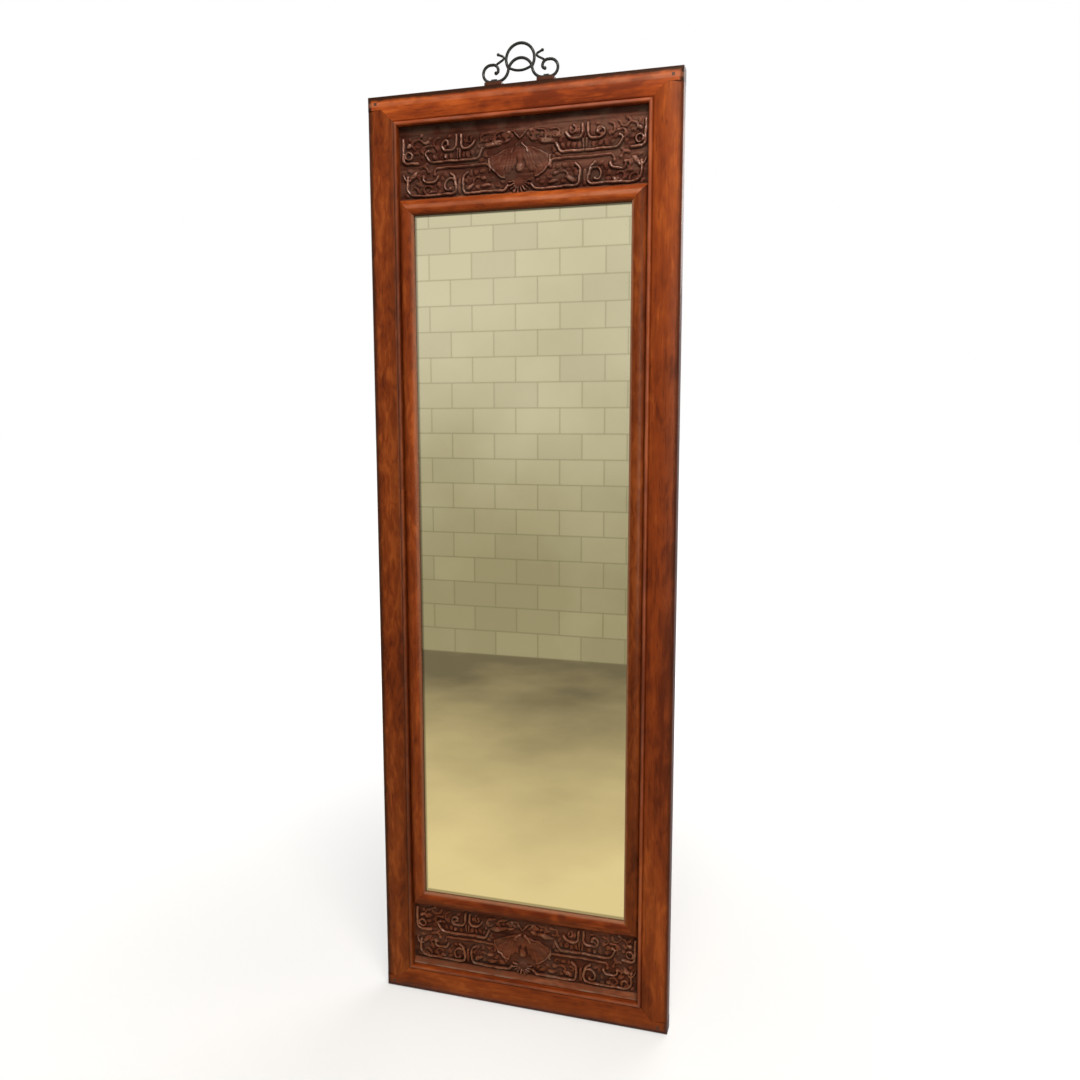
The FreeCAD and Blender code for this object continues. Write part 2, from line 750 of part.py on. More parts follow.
def make_relief():
    """Raised carving of one panel about the panel's middle: bars, cups, curls and the bat."""
    depth = Vector(0, value("relief_height + relief_sink"), 0)
    scale = min(value(HALF_OPENING) / DRAWN_HALF_WIDTH, value("panel_opening") / DRAWN_HEIGHT)
    pieces = []
    for stroke in STROKES.values():
        piece = ribbon(stroke, value("stroke_width") * scale, scale).extrude(depth)
        pieces += [piece, piece.mirror(Vector(), Vector(1, 0, 0))]
    mirrored = [(-x, z) for x, z in reversed(BAT_OUTLINE[1:-1])]
    points = [Vector(x, 0, z) * scale for x, z in BAT_OUTLINE + mirrored]
    pieces.append(Part.Face(Part.makePolygon(points + points[:1])).extrude(depth))
    relief = doc.addObject("Part::Feature", "Relief")
    relief.Shape = pieces[0].multiFuse(pieces[1:])
    return relief


def make_panel(end):
    """Relief panel between a rail and the inner frame, tongued into the grooves round it."""
    middle = from_end(end, "rail_width + panel_opening / 2")
    field_half = f"({HALF_OPENING} - panel_gap)"
    field_corner = (f"-{field_half}", y_at("panel_ground"), f"{middle} - panel_opening / 2 + panel_gap")
    field_size = (f"2 * {field_half}", f"{TONGUE_BACK} - panel_ground", "panel_opening - 2 * panel_gap")
    field = block("Field", field_corner, field_size)
    thickness = f"{TONGUE_BACK} - ({TONGUE_FRONT})"
    frame_half = f"({HALF_OPENING} + tongue_length)"
    frame_tongue = block(
        "FrameTongue",
        (f"-{frame_half}", y_at(TONGUE_FRONT),
         low_end(end, "rail_width - tongue_length", f"{MEMBER_EDGE} - tongue_clearance")),
        (f"2 * {frame_half}", thickness, "panel_opening + tongue_length - tongue_clearance"))
    member_half = f"(frame_width / 2 - ({MEMBER_SIDE}) - groove_depth - panel_gap)"
    member_tongue = block(
        "MemberTongue",
        (f"-{member_half}", y_at(TONGUE_FRONT),
         low_end(end, f"{MEMBER_EDGE} - panel_opening / 2", f"{MEMBER_EDGE} + tongue_length")),
        (f"2 * {member_half}", thickness, "panel_opening / 2 + tongue_length"))
    relief = make_relief()
    inward = "-" if end == TOP else "+"
    place(relief, 0, y_at("panel_ground - relief_height"), f"{middle} {inward} relief_offset")
    bounds = block("ReliefBounds", (field_corner[0], y_at("panel_ground - relief_height"), field_corner[2]),
                   (field_size[0], "relief_height + relief_sink", field_size[2]))
    carving = doc.addObject("Part::Common", "Carving")
    carving.Base = relief
    carving.Tool = bounds
    name = "upper" if end == TOP else "lower"
    node(joined("Panel", [field, frame_tongue, member_tongue, carving]), f"{name}_carved_panel")


# Hanger

HANGER_Y = "(hanger_depth - frame_depth / 2)"
PIVOT_Z = "(frame_height + pivot_height)"
BAR_MIDDLE = "(bar_outer + bar_inner) / 2"
STRAP_SCREW_OFFSETS = ("-strap_screw_offset", "strap_screw_offset")
FOOT_TOP = "(rod_radius + foot_gap)"
SWING = "2 * atan(bow_rise / bar_inner)"
RISER_RADIUS = f"bar_inner / sin({SWING}) - bow_radius"
BOW_MIDDLE = "(bow_rise - bow_radius)"
MOUTH_SQUARES = f"ring_height ^ 2 - {BOW_MIDDLE} ^ 2 - ring_radius ^ 2 + bow_radius ^ 2"
MOUTH_UP = f"({MOUTH_SQUARES}) / (2 * (ring_height - {BOW_MIDDLE}))"
MOUTH_OUT = f"sqrt(bow_radius ^ 2 - ({MOUTH_UP} - {BOW_MIDDLE}) ^ 2)"


def rod(name, corners, heading, radius):
    """Round rod along a path in the hanger's plane, from its first corner and first heading."""
    path = doc.addObject("Sketcher::SketchObject", f"{name}Path")
    path.Placement = Placement(Vector(), Rotation(Vector(1, 0, 0), 90))
    place(path, 0, HANGER_Y, PIVOT_Z)
    outline(path, corners, closed=False)
    section = doc.addObject("Part::Circle", f"{name}Section")
    section.Placement = Placement(Vector(), Rotation(Vector(0, 1, 0), 90))
    bind(section, {"Radius": radius, "Placement.Rotation.Angle": f"90 deg - ({heading})"})
    place(section, corners[0][0], HANGER_Y, f"{PIVOT_Z} + {corners[0][1]}")
    doc.recompute()
    sweep = doc.addObject("Part::Sweep", name)
    sweep.Sections = [section]
    sweep.Spine = (path, [f"Edge{index + 1}" for index in range(len(corners) - 1)])
    sweep.Solid = True
    sweep.Frenet = False
    return sweep


def knob(name, x, up, radius):
    """Ball on the end of a rod."""
    item = doc.addObject("Part::Sphere", name)
    bind(item, {"Radius": radius})
    place(item, x, HANGER_Y, f"{PIVOT_Z} + {up}")
    return item


def make_scroll_rod():
    """One rod bent into both scroll feet and, between them, the upper bow of the eye."""
    tip_out = "bar_outer - scroll_lead - hook_radius + hook_tip_radius"
    hook_out = "bar_outer - scroll_lead - hook_radius"
    tip_up = "2 * scroll_radius - hook_radius - hook_tip_radius"
    hook_up = "2 * scroll_radius - hook_radius"
    rise_out = f"bow_radius * sin({SWING})"
    rise_up = f"bow_rise - bow_radius * (1 - cos({SWING}))"
    left_half = [
        (f"-({tip_out})", tip_up, "hook_tip_radius"),
        (f"-({hook_out})", hook_up, "hook_radius"),
        ("-(bar_outer - scroll_lead)", "2 * scroll_radius"),
        ("-bar_outer", "2 * scroll_radius", "scroll_radius"),
        ("-(bar_outer + scroll_radius)", "scroll_radius", "scroll_radius"),
        ("-bar_outer", "0"),
        ("-bar_inner", "0", RISER_RADIUS),
        (f"-({rise_out})", rise_up, "-bow_radius"),
    ]
    right_half = [
        ("0", "bow_rise", "-bow_radius"),
        (rise_out, rise_up, RISER_RADIUS),
        ("bar_inner", "0"),
        ("bar_outer", "0", "scroll_radius"),
        ("bar_outer + scroll_radius", "scroll_radius", "scroll_radius"),
        ("bar_outer", "2 * scroll_radius"),
        ("bar_outer - scroll_lead", "2 * scroll_radius", "hook_radius"),
        (hook_out, hook_up, "hook_tip_radius"),
        (tip_out, tip_up),
    ]
    bent = rod("ScrollRod", left_half + right_half, "0 deg", "rod_radius")
    knobs = [knob("HookKnob", f"{side} * ({tip_out})", tip_up, "knob_radius") for side in (LEFT, RIGHT)]
    return node(joined("Scroll", [bent] + knobs), "hanger_scroll_rod")


def make_top_arch(scroll):
    """Large arch that takes the wall hook, springing from the scroll rod on both sides."""
    corners = [
        (MOUTH_OUT, MOUTH_UP, "ring_radius"),
        ("ring_radius", "ring_height", "ring_radius"),
        ("0", "ring_height + ring_radius", "ring_radius"),
        ("-ring_radius", "ring_height", "ring_radius"),
        (f"-{MOUTH_OUT}", MOUTH_UP),
    ]
    bent = rod("Arch", corners, f"90 deg - asin((ring_height - {MOUTH_UP}) / ring_radius)", "rod_radius")
    return node(trimmed("ArchTrim", bent, [scroll]), "hanger_top_arch")


def make_lower_bow(scroll, arch):
    """Shallow bow that closes the eye from below."""
    end_out = "(bow_radius * cos(lower_bow_angle))"
    end_up = f"({BOW_MIDDLE} + bow_radius * sin(lower_bow_angle))"
    drop = f"({end_up} - lower_bow_height)"
    radius = f"({end_out} ^ 2 + {drop} ^ 2) / (2 * {drop})"
    corners = [
        (f"-{end_out}", end_up, radius),
        ("0", "lower_bow_height", radius),
        (end_out, end_up),
    ]
    bent = rod("Bow", corners, f"-2 * atan({drop} / {end_out})", "lower_rod_radius")
    node(trimmed("BowTrim", bent, [scroll, arch]), "hanger_lower_bow")


def make_curl(side, scroll, arch):
    """Small leaf curl between a scroll and the arch, flicked outwards at its tip."""
    bend_x = "-curl_start_out + curl_length * cos(curl_heading)"
    bend_up = "curl_start_up + curl_length * sin(curl_heading)"
    last = "curl_heading + curl_turn"
    tip_x = f"{bend_x} + curl_bend * (sin({last}) - sin(curl_heading))"
    tip_up = f"{bend_up} + curl_bend * (cos(curl_heading) - cos({last}))"
    end_x, end_up = f"{tip_x} + curl_tip * cos({last})", f"{tip_up} + curl_tip * sin({last})"
    corners = [
        (f"{-side} * (-curl_start_out)", "curl_start_up"),
        (f"{-side} * ({bend_x})", bend_up, f"{-side} * curl_bend"),
        (f"{-side} * ({tip_x})", tip_up),
        (f"{-side} * ({end_x})", end_up),
    ]
    heading = "curl_heading * 1 deg" if side == LEFT else "(180 - curl_heading) * 1 deg"
    bent = rod("Curl", corners, heading, "curl_radius")
    ball = knob("CurlKnob", f"{-side} * ({end_x})", end_up, "curl_knob_radius")
    node(trimmed("CurlTrim", joined("CurlBlank", [bent, ball]), [scroll, arch]),
         f"hanger_{SIDE_NAMES[side]}_curl")


def make_foot(side):
    """Iron foot block under a scroll, screwed down on the top rail."""
    body = new_body("Foot")
    middle = f"{side} * ({BAR_MIDDLE})"
    height = f"pivot_height - {FOOT_TOP}"
    corner = (f"{middle} - foot_length / 2", f"{HANGER_Y} - foot_width / 2", "frame_height")
    base = box_in(body, "Additive", corner, ("foot_length", "foot_width", height))
    upright = [f"Edge{index + 1}" for index, edge in enumerate(base.Shape.Edges)
               if abs(edge.tangentAt(edge.FirstParameter).z) > 0.99]
    rounding = body.newObject("PartDesign::Fillet", "Rounding")
    rounding.Base = (base, upright)
    bind(rounding, {"Radius": "foot_round"})
    cutting(body, rounding)
    for offset in STRAP_SCREW_OFFSETS:
        hole(body, (middle, f"{HANGER_Y} + {offset}", f"frame_height - {CUT_MARGIN}"), Vector(0, 0, 1),
             "strap_screw_radius + screw_clearance", f"{height} + 2 * {CUT_MARGIN}")
    node(body, f"hanger_{SIDE_NAMES[side]}_foot")


def make_strap(side):
    """Bent strap that holds a scroll's base bar down on its foot and lets it turn."""
    body = new_body("Strap")
    inner = "(rod_radius + rod_clearance)"
    outer = f"({inner} + strap_thickness)"
    lug_top = f"strap_thickness - {FOOT_TOP}"
    profile = new_sketch(body, "YZ_Plane", f"{side} * ({BAR_MIDDLE}) - strap_length / 2")
    flat = [
        ("-strap_reach", f"-{FOOT_TOP}"),
        (f"-{inner}", f"-{FOOT_TOP}"),
        (f"-{inner}", "0", f"-{inner}"),
        ("0", inner, f"-{inner}"),
        (inner, "0"),
        (inner, f"-{FOOT_TOP}"),
        ("strap_reach", f"-{FOOT_TOP}"),
        ("strap_reach", lug_top),
        (outer, lug_top),
        (outer, "0", outer),
        ("0", outer, outer),
        (f"-{outer}", "0"),
        (f"-{outer}", lug_top),
        ("-strap_reach", lug_top),
    ]
    outline(profile, [(f"{HANGER_Y} + ({item[0]})", f"{PIVOT_Z} + ({item[1]})") + item[2:] for item in flat])
    pad(body, profile, "strap_length")
    for offset in STRAP_SCREW_OFFSETS:
        foot = (f"{side} * ({BAR_MIDDLE})", f"{HANGER_Y} + {offset}",
                f"{PIVOT_Z} - {FOOT_TOP} - {CUT_MARGIN}")
        hole(body, foot, Vector(0, 0, 1), "strap_screw_radius + screw_clearance",
             f"strap_thickness + 2 * {CUT_MARGIN}")
    node(body, f"hanger_{SIDE_NAMES[side]}_strap")


def make_strap_screws():
    """Slotted screws through the straps and feet into the top rail."""
    pieces = []
    lug_top = f"{PIVOT_Z} - {FOOT_TOP} + strap_thickness"
    shank_foot = "frame_height - strap_screw_bite"
    for side in (LEFT, RIGHT):
        for offset in STRAP_SCREW_OFFSETS:
            x_screw, y_screw = f"{side} * ({BAR_MIDDLE})", f"{HANGER_Y} + {offset}"
            shank = doc.addObject("Part::Cylinder", "StrapShank")
            place(shank, x_screw, y_screw, shank_foot)
            bind(shank, {"Radius": "strap_screw_radius", "Height": f"{lug_top} - ({shank_foot})"})
            head = doc.addObject("Part::Cone", "StrapHead")
            place(head, x_screw, y_screw, lug_top)
            bind(head, {"Radius1": "strap_head_radius", "Height": "strap_head_height",
                        "Radius2": "strap_head_radius - strap_head_height / 2"})
            slot = block("StrapSlot", (f"{x_screw} - strap_head_radius", f"{y_screw} - slot_width / 2",
                                       f"{lug_top} + strap_head_height - slot_depth"),
                         ("2 * strap_head_radius", "slot_width", f"slot_depth + {CUT_MARGIN}"))
            pieces.append(trimmed("StrapScrew", joined("StrapScrewBlank", [shank, head]), [slot]))
    node(group("StrapScrews", pieces), "hanger_strap_screws")


# Assembly

for side_mark in (LEFT, RIGHT):
    make_stile(side_mark)
for end_mark in (BOTTOM, TOP):
    make_rail(end_mark)
for side_mark in (LEFT, RIGHT):
    for end_mark in (BOTTOM, TOP):
        make_peg(side_mark, end_mark)
for side_mark in (LEFT, RIGHT):
    make_side_member(side_mark)
for end_mark in (BOTTOM, TOP):
    make_end_member(end_mark)
make_splines()
make_glass()
make_packing_blocks()
make_back_boards()
for batten_name, batten_height in BATTEN_HEIGHTS.items():
    make_batten(batten_name, batten_height)
make_batten_screws()
for end_mark in (BOTTOM, TOP):
    make_panel(end_mark)
scroll_rod = make_scroll_rod()
top_arch = make_top_arch(scroll_rod)
make_lower_bow(scroll_rod, top_arch)
for side_mark in (LEFT, RIGHT):
    make_curl(side_mark, scroll_rod, top_arch)
    make_foot(side_mark)
    make_strap(side_mark)
make_strap_screws()
doc.recompute()

for entry in doc.Objects:
    if "Invalid" in entry.State or "Error" in entry.State:
        raise RuntimeError(f"{entry.Name} ({entry.Label}) failed: {entry.State}")
for entry in nodes:
    if entry.Shape.isNull() or not entry.Shape.isValid() or not entry.Shape.Solids:
        raise RuntimeError(f"{entry.Label} has no valid solid")

os.makedirs("parts", exist_ok=True)
for entry in nodes:
    entry.Shape.exportStep(f"parts/{entry.Label}.step")
    print(f"{entry.Label}: {len(entry.Shape.Solids)} solids, {entry.Shape.Volume:.0f} mm3")
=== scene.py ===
"""Looks of a tall robing mirror: moulded frame, carved panels, silvered glass and an iron scroll hanger."""

import logging
import math
from dataclasses import dataclass
from enum import Enum
from functools import cache

import bpy
import numpy as np
from mathutils import Matrix, Vector


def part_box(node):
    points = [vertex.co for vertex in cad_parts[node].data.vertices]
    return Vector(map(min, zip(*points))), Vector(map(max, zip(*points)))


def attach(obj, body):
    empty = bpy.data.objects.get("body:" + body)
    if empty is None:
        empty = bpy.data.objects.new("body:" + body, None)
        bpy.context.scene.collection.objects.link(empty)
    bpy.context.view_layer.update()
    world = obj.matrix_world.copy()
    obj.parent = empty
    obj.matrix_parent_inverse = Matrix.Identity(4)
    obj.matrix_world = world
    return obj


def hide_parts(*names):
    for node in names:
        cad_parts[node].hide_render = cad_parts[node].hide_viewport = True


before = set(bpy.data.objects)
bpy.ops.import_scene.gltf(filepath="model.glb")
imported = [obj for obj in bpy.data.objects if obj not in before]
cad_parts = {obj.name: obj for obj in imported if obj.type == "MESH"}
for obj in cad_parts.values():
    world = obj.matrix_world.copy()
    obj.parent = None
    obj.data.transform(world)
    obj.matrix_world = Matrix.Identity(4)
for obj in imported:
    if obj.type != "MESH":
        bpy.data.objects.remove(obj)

Colour = tuple[float, float, float]
Point = tuple[float, float]
Place = tuple[float, float, float]
Material = bpy.types.Material
Socket = bpy.types.NodeSocket
Value = Socket | float | tuple[float, ...]

LOG = logging.getLogger("robing_mirror")
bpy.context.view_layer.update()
MILLIMETRE = 0.001

FRAME_HALF_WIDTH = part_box("top_rail")[1].x
FRAME_HALF_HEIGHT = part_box("top_rail")[1].z / 2
TO_FRAME_MIDDLE = (0.0, 0.0, -FRAME_HALF_HEIGHT)


class GrainRun(Enum):
    """Which way the grain of a piece of timber runs, as a turn about Y."""

    UPRIGHT = 0.0
    LEVEL = math.pi / 2


class RailSide(Enum):
    """On which side of a carved panel the rail of the outer frame lies."""

    ABOVE = 1
    BELOW = -1


@dataclass(frozen=True)
class Corner:
    """Corner of a frame, in metres from the frame's middle.

    The mitre starts at the inner corner. Where it stops short of the outer edge, a butt line goes on.
    """

    across: float
    up: float
    mitre: float


class Joint(Enum):
    """Which corner joint leaves a hairline on the face of a piece."""

    OUTER = Corner(across=0.2150, up=0.7590, mitre=0.0270)
    INNER = Corner(across=0.1892, up=0.6120, mitre=0.0260)


@dataclass(frozen=True)
class GrainLayer:
    """Noise stretched along the grain: features per metre across and along it, octaves and warp."""

    across: float
    along: float
    detail: float
    warp: float = 0.0


class ShaderTree:
    """Short-hand for adding nodes to a node tree and wiring them up."""

    def __init__(self, tree: bpy.types.NodeTree) -> None:
        """Wrap a tree."""
        self.tree = tree

    def node(self, kind: str, **settings: object) -> bpy.types.Node:
        """Add a node.

        Args:
            kind: The node's type, without the leading ShaderNode.
            settings: Properties of the node to set.

        Returns:
            The new node.
        """
        made = self.tree.nodes.new("ShaderNode" + kind)
        for name, value in settings.items():
            setattr(made, name, value)
        return made

    def feed(self, socket: Socket, value: Value) -> None:
        """Link a socket to another one, or set its plain value.

        Args:
            socket: The input socket.
            value: An output socket, a number, or a tuple that fits the socket.
        """
        if isinstance(value, Socket):
            self.tree.links.new(value, socket)
        elif isinstance(value, tuple) and len(value) == 3 and socket.type == "RGBA":
            socket.default_value = (*value, 1.0)
        else:
            socket.default_value = value

    def math(self, operation: str, first: Value, second: Value = 0.0, clamp: bool = False) -> Socket:
        """Add a Math node.

        Args:
            operation: The node's operation.
            first: First socket or number.
            second: Second socket or number.
            clamp: Whether the result is kept from 0 to 1.

        Returns:
            The result's socket.
        """
        made = self.node("Math", operation=operation, use_clamp=clamp)
        self.feed(made.inputs[0], first)
        self.feed(made.inputs[1], second)
        return made.outputs[0]

    def product(self, first: Value, *others: Value) -> Socket:
        """Multiply sockets and numbers.

        Args:
            first: First socket or number.
            others: The ones to multiply it by.

        Returns:
            The product's socket.
        """
        result = first
        for value in others:
            result = self.math("MULTIPLY", result, value)
        return result

    def swing(self, value: Value, amount: Value) -> Socket:
        """Turn a value from 0 to 1 into one that swings about nothing by an amount."""
        return self.product(self.math("SUBTRACT", value, 0.5), amount)

    def band(self, value: Value, low: float, high: float, start: float = 0.0, end: float = 1.0) -> Socket:
        """Map a span of values smoothly on to another span.

        Args:
            value: Socket to map.
            low: Value that gives start.
            high: Value that gives end.
            start: Result at low.
            end: Result at high.

        Returns:
            The mapped value's socket.
        """
        made = self.node("MapRange", interpolation_type="SMOOTHSTEP")
        for index, item in enumerate((value, low, high, start, end)):
            self.feed(made.inputs[index], item)
        return made.outputs[0]

    def mix(self, factor: Value, first: Value, second: Value, blend: str = "MIX") -> Socket:
        """Mix two colours.

        Args:
            factor: Share of the second colour.
            first: First colour.
            second: Second colour.
            blend: Blend mode.

        Returns:
            The mixed colour's socket.
        """
        made = self.node("Mix", data_type="RGBA", blend_type=blend, clamp_factor=True)
        colours = [socket for socket in made.inputs if socket.type == "RGBA"]
        for socket, value in zip((made.inputs[0], *colours), (factor, first, second)):
            self.feed(socket, value)
        return next(socket for socket in made.outputs if socket.type == "RGBA")

    def noise(self, vector: Value, scale: float, detail: float = 2.0, warp: float = 0.0) -> Socket:
        """Add a noise texture.

        Args:
            vector: Where the noise is read.
            scale: Features per metre.
            detail: Octaves.
            warp: How far the noise is warped.

        Returns:
            The noise value's socket.
        """
        made = self.node("TexNoise", noise_dimensions="3D")
        for label, value in (("Vector", vector), ("Scale", scale), ("Detail", detail), ("Distortion", warp)):
            self.feed(made.inputs[label], value)
        return made.outputs[0]

    def layer(self, vector: Value, layer: GrainLayer) -> Socket:
        """Add a noise that is stretched along Z.

        Args:
            vector: Where the noise is read.
            layer: How it is stretched.

        Returns:
            The noise value's socket.
        """
        stretched = self.node("VectorMath", operation="MULTIPLY")
        self.feed(stretched.inputs[0], vector)
        self.feed(stretched.inputs[1], (layer.across, layer.across, layer.along))
        return self.noise(stretched.outputs[0], 1.0, layer.detail, layer.warp)

    def place(self, shift: Place = (0.0, 0.0, 0.0), run: GrainRun = GrainRun.UPRIGHT) -> Socket:
        """Coordinates of a piece in metres, moved, and turned so that Z is along the grain.

        Args:
            shift: Move, so that pieces don't share one pattern.
            run: Way of the grain.

        Returns:
            The coordinates' socket.
        """
        made = self.node("Mapping")
        self.feed(made.inputs["Vector"], self.node("TexCoord").outputs["Object"])
        self.feed(made.inputs["Location"], shift)
        self.feed(made.inputs["Rotation"], (0.0, run.value, 0.0))
        return made.outputs[0]

    def apart(self, vector: Value) -> list[Socket]:
        """Split a vector into its three values.

        Args:
            vector: The vector.

        Returns:
            The sockets of X, Y and Z.
        """
        made = self.node("SeparateXYZ")
        self.feed(made.inputs[0], vector)
        return list(made.outputs)

    def beyond(self, vector: Value, across: Value, up: Value) -> tuple[Socket, Socket]:
        """How far a place lies outside an upright rectangle about the origin.

        Args:
            vector: The place.
            across: Half the rectangle's width.
            up: Half its height.

        Returns:
            The distances across and up, negative inside.
        """
        x, _, z = self.apart(vector)
        side = self.math("SUBTRACT", self.math("ABSOLUTE", x), across)
        return side, self.math("SUBTRACT", self.math("ABSOLUTE", z), up)

    def group(self, effect: bpy.types.NodeTree, **values: Value) -> bpy.types.Node:
        """Place a node group.

        Args:
            effect: The group.
            values: Inputs by name.

        Returns:
            The group's node.
        """
        made = self.node("Group", node_tree=effect)
        for name, value in values.items():
            self.feed(made.inputs[name], value)
        return made

    def mask(self, effect: bpy.types.NodeTree, **values: Value) -> Socket:
        """Place a node group that puts out a mask, and return the mask's socket."""
        return self.group(effect, **values).outputs["Mask"]

    def attribute(self, name: str) -> Socket:
        """Value that a mesh carries on its points."""
        return self.node("Attribute", attribute_name=name).outputs["Fac"]

    def bump(self, height: Value, strength: float, distance: float) -> Socket:
        """Turn a height into a normal.

        Args:
            height: Height value.
            strength: Strength of the effect.
            distance: Size of one unit of height, in metres.

        Returns:
            The normal's socket.
        """
        made = self.node("Bump")
        for label, value in (("Strength", strength), ("Distance", distance), ("Height", height)):
            self.feed(made.inputs[label], value)
        return made.outputs[0]


class Effects:
    """Node groups that several finishes share, each built once."""

    BROAD = GrainLayer(16.0, 2.2, 3.0, 0.6)
    STREAK = GrainLayer(210.0, 7.0, 4.0, 0.5)
    FIBRE = GrainLayer(900.0, 26.0, 2.0)
    CURL = GrainLayer(80.0, 26.0, 3.0, 1.3)
    BLOTCH = GrainLayer(46.0, 15.0, 2.0, 0.9)
    PORE = GrainLayer(620.0, 42.0, 1.0)
    PORE_DARK: Colour = (0.02, 0.008, 0.004)
    STAIN_SHIFT = 0.0035

    @staticmethod
    def start(name: str, values: tuple[str, ...], colours: tuple[str, ...] = (),
              outputs: tuple[tuple[str, str], ...] = (("Mask", "Float"),)) -> tuple[ShaderTree, dict, dict]:
        """Start a node group that reads a vector.

        Args:
            name: Name of the group.
            values: Names of its number inputs.
            colours: Names of its colour inputs.
            outputs: Names and kinds of its outputs.

        Returns:
            The wrapped tree, its input sockets and its output sockets by name.
        """
        tree = bpy.data.node_groups.new(name, "ShaderNodeTree")
        inputs = {"Vector": "Vector", **dict.fromkeys(colours, "Color"), **dict.fromkeys(values, "Float")}
        for way, kinds in (("INPUT", inputs), ("OUTPUT", dict(outputs))):
            for label, kind in kinds.items():
                tree.interface.new_socket(label, in_out=way, socket_type="NodeSocket" + kind)
        enter, leave = tree.nodes.new("NodeGroupInput"), tree.nodes.new("NodeGroupOutput")
        ends = {label: leave.inputs[label] for label, _ in outputs}
        return ShaderTree(tree), {label: enter.outputs[label] for label in inputs}, ends

    @staticmethod
    @cache
    def timber_grain() -> bpy.types.NodeTree:
        """Grain of planed hardwood along Z: broad tone, streaks, cross figure and pores.

        Returns:
            The node group.
        """
        tree, enter, leave = Effects.start(
            "Timber grain", ("Streaks", "Figure", "Pores"), ("Dark", "Middle", "Light"),
            (("Color", "Color"), ("Height", "Float"), ("Tone", "Float")))
        layers = (Effects.BROAD, Effects.STREAK, Effects.FIBRE, Effects.CURL, Effects.BLOTCH, Effects.PORE)
        broad, streak, fibre, curl, blotch, pore = (tree.layer(enter["Vector"], layer) for layer in layers)
        tone = tree.math("ADD", 0.5, tree.swing(broad, 1.5))
        for value, strength in ((streak, enter["Streaks"]), (curl, enter["Figure"]),
                                (blotch, 0.8), (fibre, 0.25)):
            tone = tree.math("ADD", tone, tree.swing(value, strength))
        darks = tree.mix(tree.band(tone, 0.12, 0.5), enter["Dark"], enter["Middle"])
        colour = tree.mix(tree.band(tone, 0.45, 0.9), darks, enter["Light"])
        pitted = tree.product(tree.band(pore, 0.63, 0.71), enter["Pores"])
        colour = tree.mix(pitted, colour, tree.mix(0.65, enter["Dark"], Effects.PORE_DARK))
        tree.feed(leave["Color"], colour)
        tree.feed(leave["Height"], tree.math("SUBTRACT", tree.product(fibre, 0.5), tree.product(pitted, 0.8)))
        tree.feed(leave["Tone"], tone)
        return tree.tree

    @staticmethod
    @cache
    def hollow_grime_and_shade() -> bpy.types.NodeTree:
        """Darkening in quirks, grooves and corners where ambient occlusion finds them: old polish and grime,
        and painted shade.

        Returns:
            The node group.
        """
        tree, enter, leave = Effects.start("Hollow grime and painted shade", ("Reach", "Amount"))
        hollow = tree.node("AmbientOcclusion", samples=6)
        tree.feed(hollow.inputs["Distance"], enter["Reach"])
        closed = tree.band(hollow.outputs["AO"], 0.86, 0.30)
        patchy = tree.band(tree.noise(enter["Vector"], 60.0, 3.0), 0.25, 0.65, 0.55, 1.0)
        tree.feed(leave["Mask"], tree.product(closed, patchy, enter["Amount"]))
        return tree.tree

    @staticmethod
    @cache
    def edge_wear() -> bpy.types.NodeTree:
        """Rubbed outer edges, broken up along their length.

        Returns:
            The node group.
        """
        tree, enter, leave = Effects.start("Edge wear", ("Radius", "Amount"))
        rounded = tree.node("Bevel", samples=4)
        tree.feed(rounded.inputs["Radius"], enter["Radius"])
        facing = tree.node("VectorMath", operation="DOT_PRODUCT")
        tree.feed(facing.inputs[0], rounded.outputs[0])
        tree.feed(facing.inputs[1], tree.node("NewGeometry").outputs["Normal"])
        edge = tree.band(facing.outputs["Value"], 0.985, 0.80)
        open_side = tree.node("AmbientOcclusion", samples=4)
        tree.feed(open_side.inputs["Distance"], 0.006)
        outer = tree.band(open_side.outputs["AO"], 0.75, 0.95)
        broken = tree.band(tree.noise(enter["Vector"], 45.0, 4.0), 0.40, 0.62)
        tree.feed(leave["Mask"], tree.product(edge, outer, broken, enter["Amount"]))
        return tree.tree

    @staticmethod
    @cache
    def stained_edge() -> bpy.types.NodeTree:
        """Black-brown stain along the outer edges of the frame, narrower on the right, from its middle.

        Returns:
            The node group.
        """
        tree, enter, leave = Effects.start("Stained edge", ("Amount",))
        x, _, z = tree.apart(enter["Vector"])
        left = tree.math("ADD", x, FRAME_HALF_WIDTH)
        right = tree.math("SUBTRACT", FRAME_HALF_WIDTH + Effects.STAIN_SHIFT, x)
        end = tree.math("SUBTRACT", FRAME_HALF_HEIGHT, tree.math("ABSOLUTE", z))
        inset = tree.math("MINIMUM", tree.math("MINIMUM", left, right), end)
        ragged = tree.swing(tree.noise(enter["Vector"], 55.0, 3.0), 0.005)
        line = tree.band(tree.math("ADD", inset, ragged), 0.0115, 0.0060)
        tree.feed(leave["Mask"], tree.product(line, enter["Amount"]))
        return tree.tree

    @staticmethod
    @cache
    def sight_edge_light() -> bpy.types.NodeTree:
        """Inner edge of the moulding beside the glass, where painted light is laid, from coordinates about
        the middle of the frame.

        Returns:
            The node group.
        """
        tree, enter, leave = Effects.start("Sight edge painted light", ("Across", "Up"))
        outset = tree.math("MAXIMUM", *tree.beyond(enter["Vector"], enter["Across"], enter["Up"]))
        ragged = tree.swing(tree.noise(enter["Vector"], 80.0, 2.0), 0.0012)
        tree.feed(leave["Mask"], tree.band(tree.math("ADD", outset, ragged), 0.0050, 0.0008, 0.0, 0.65))
        return tree.tree

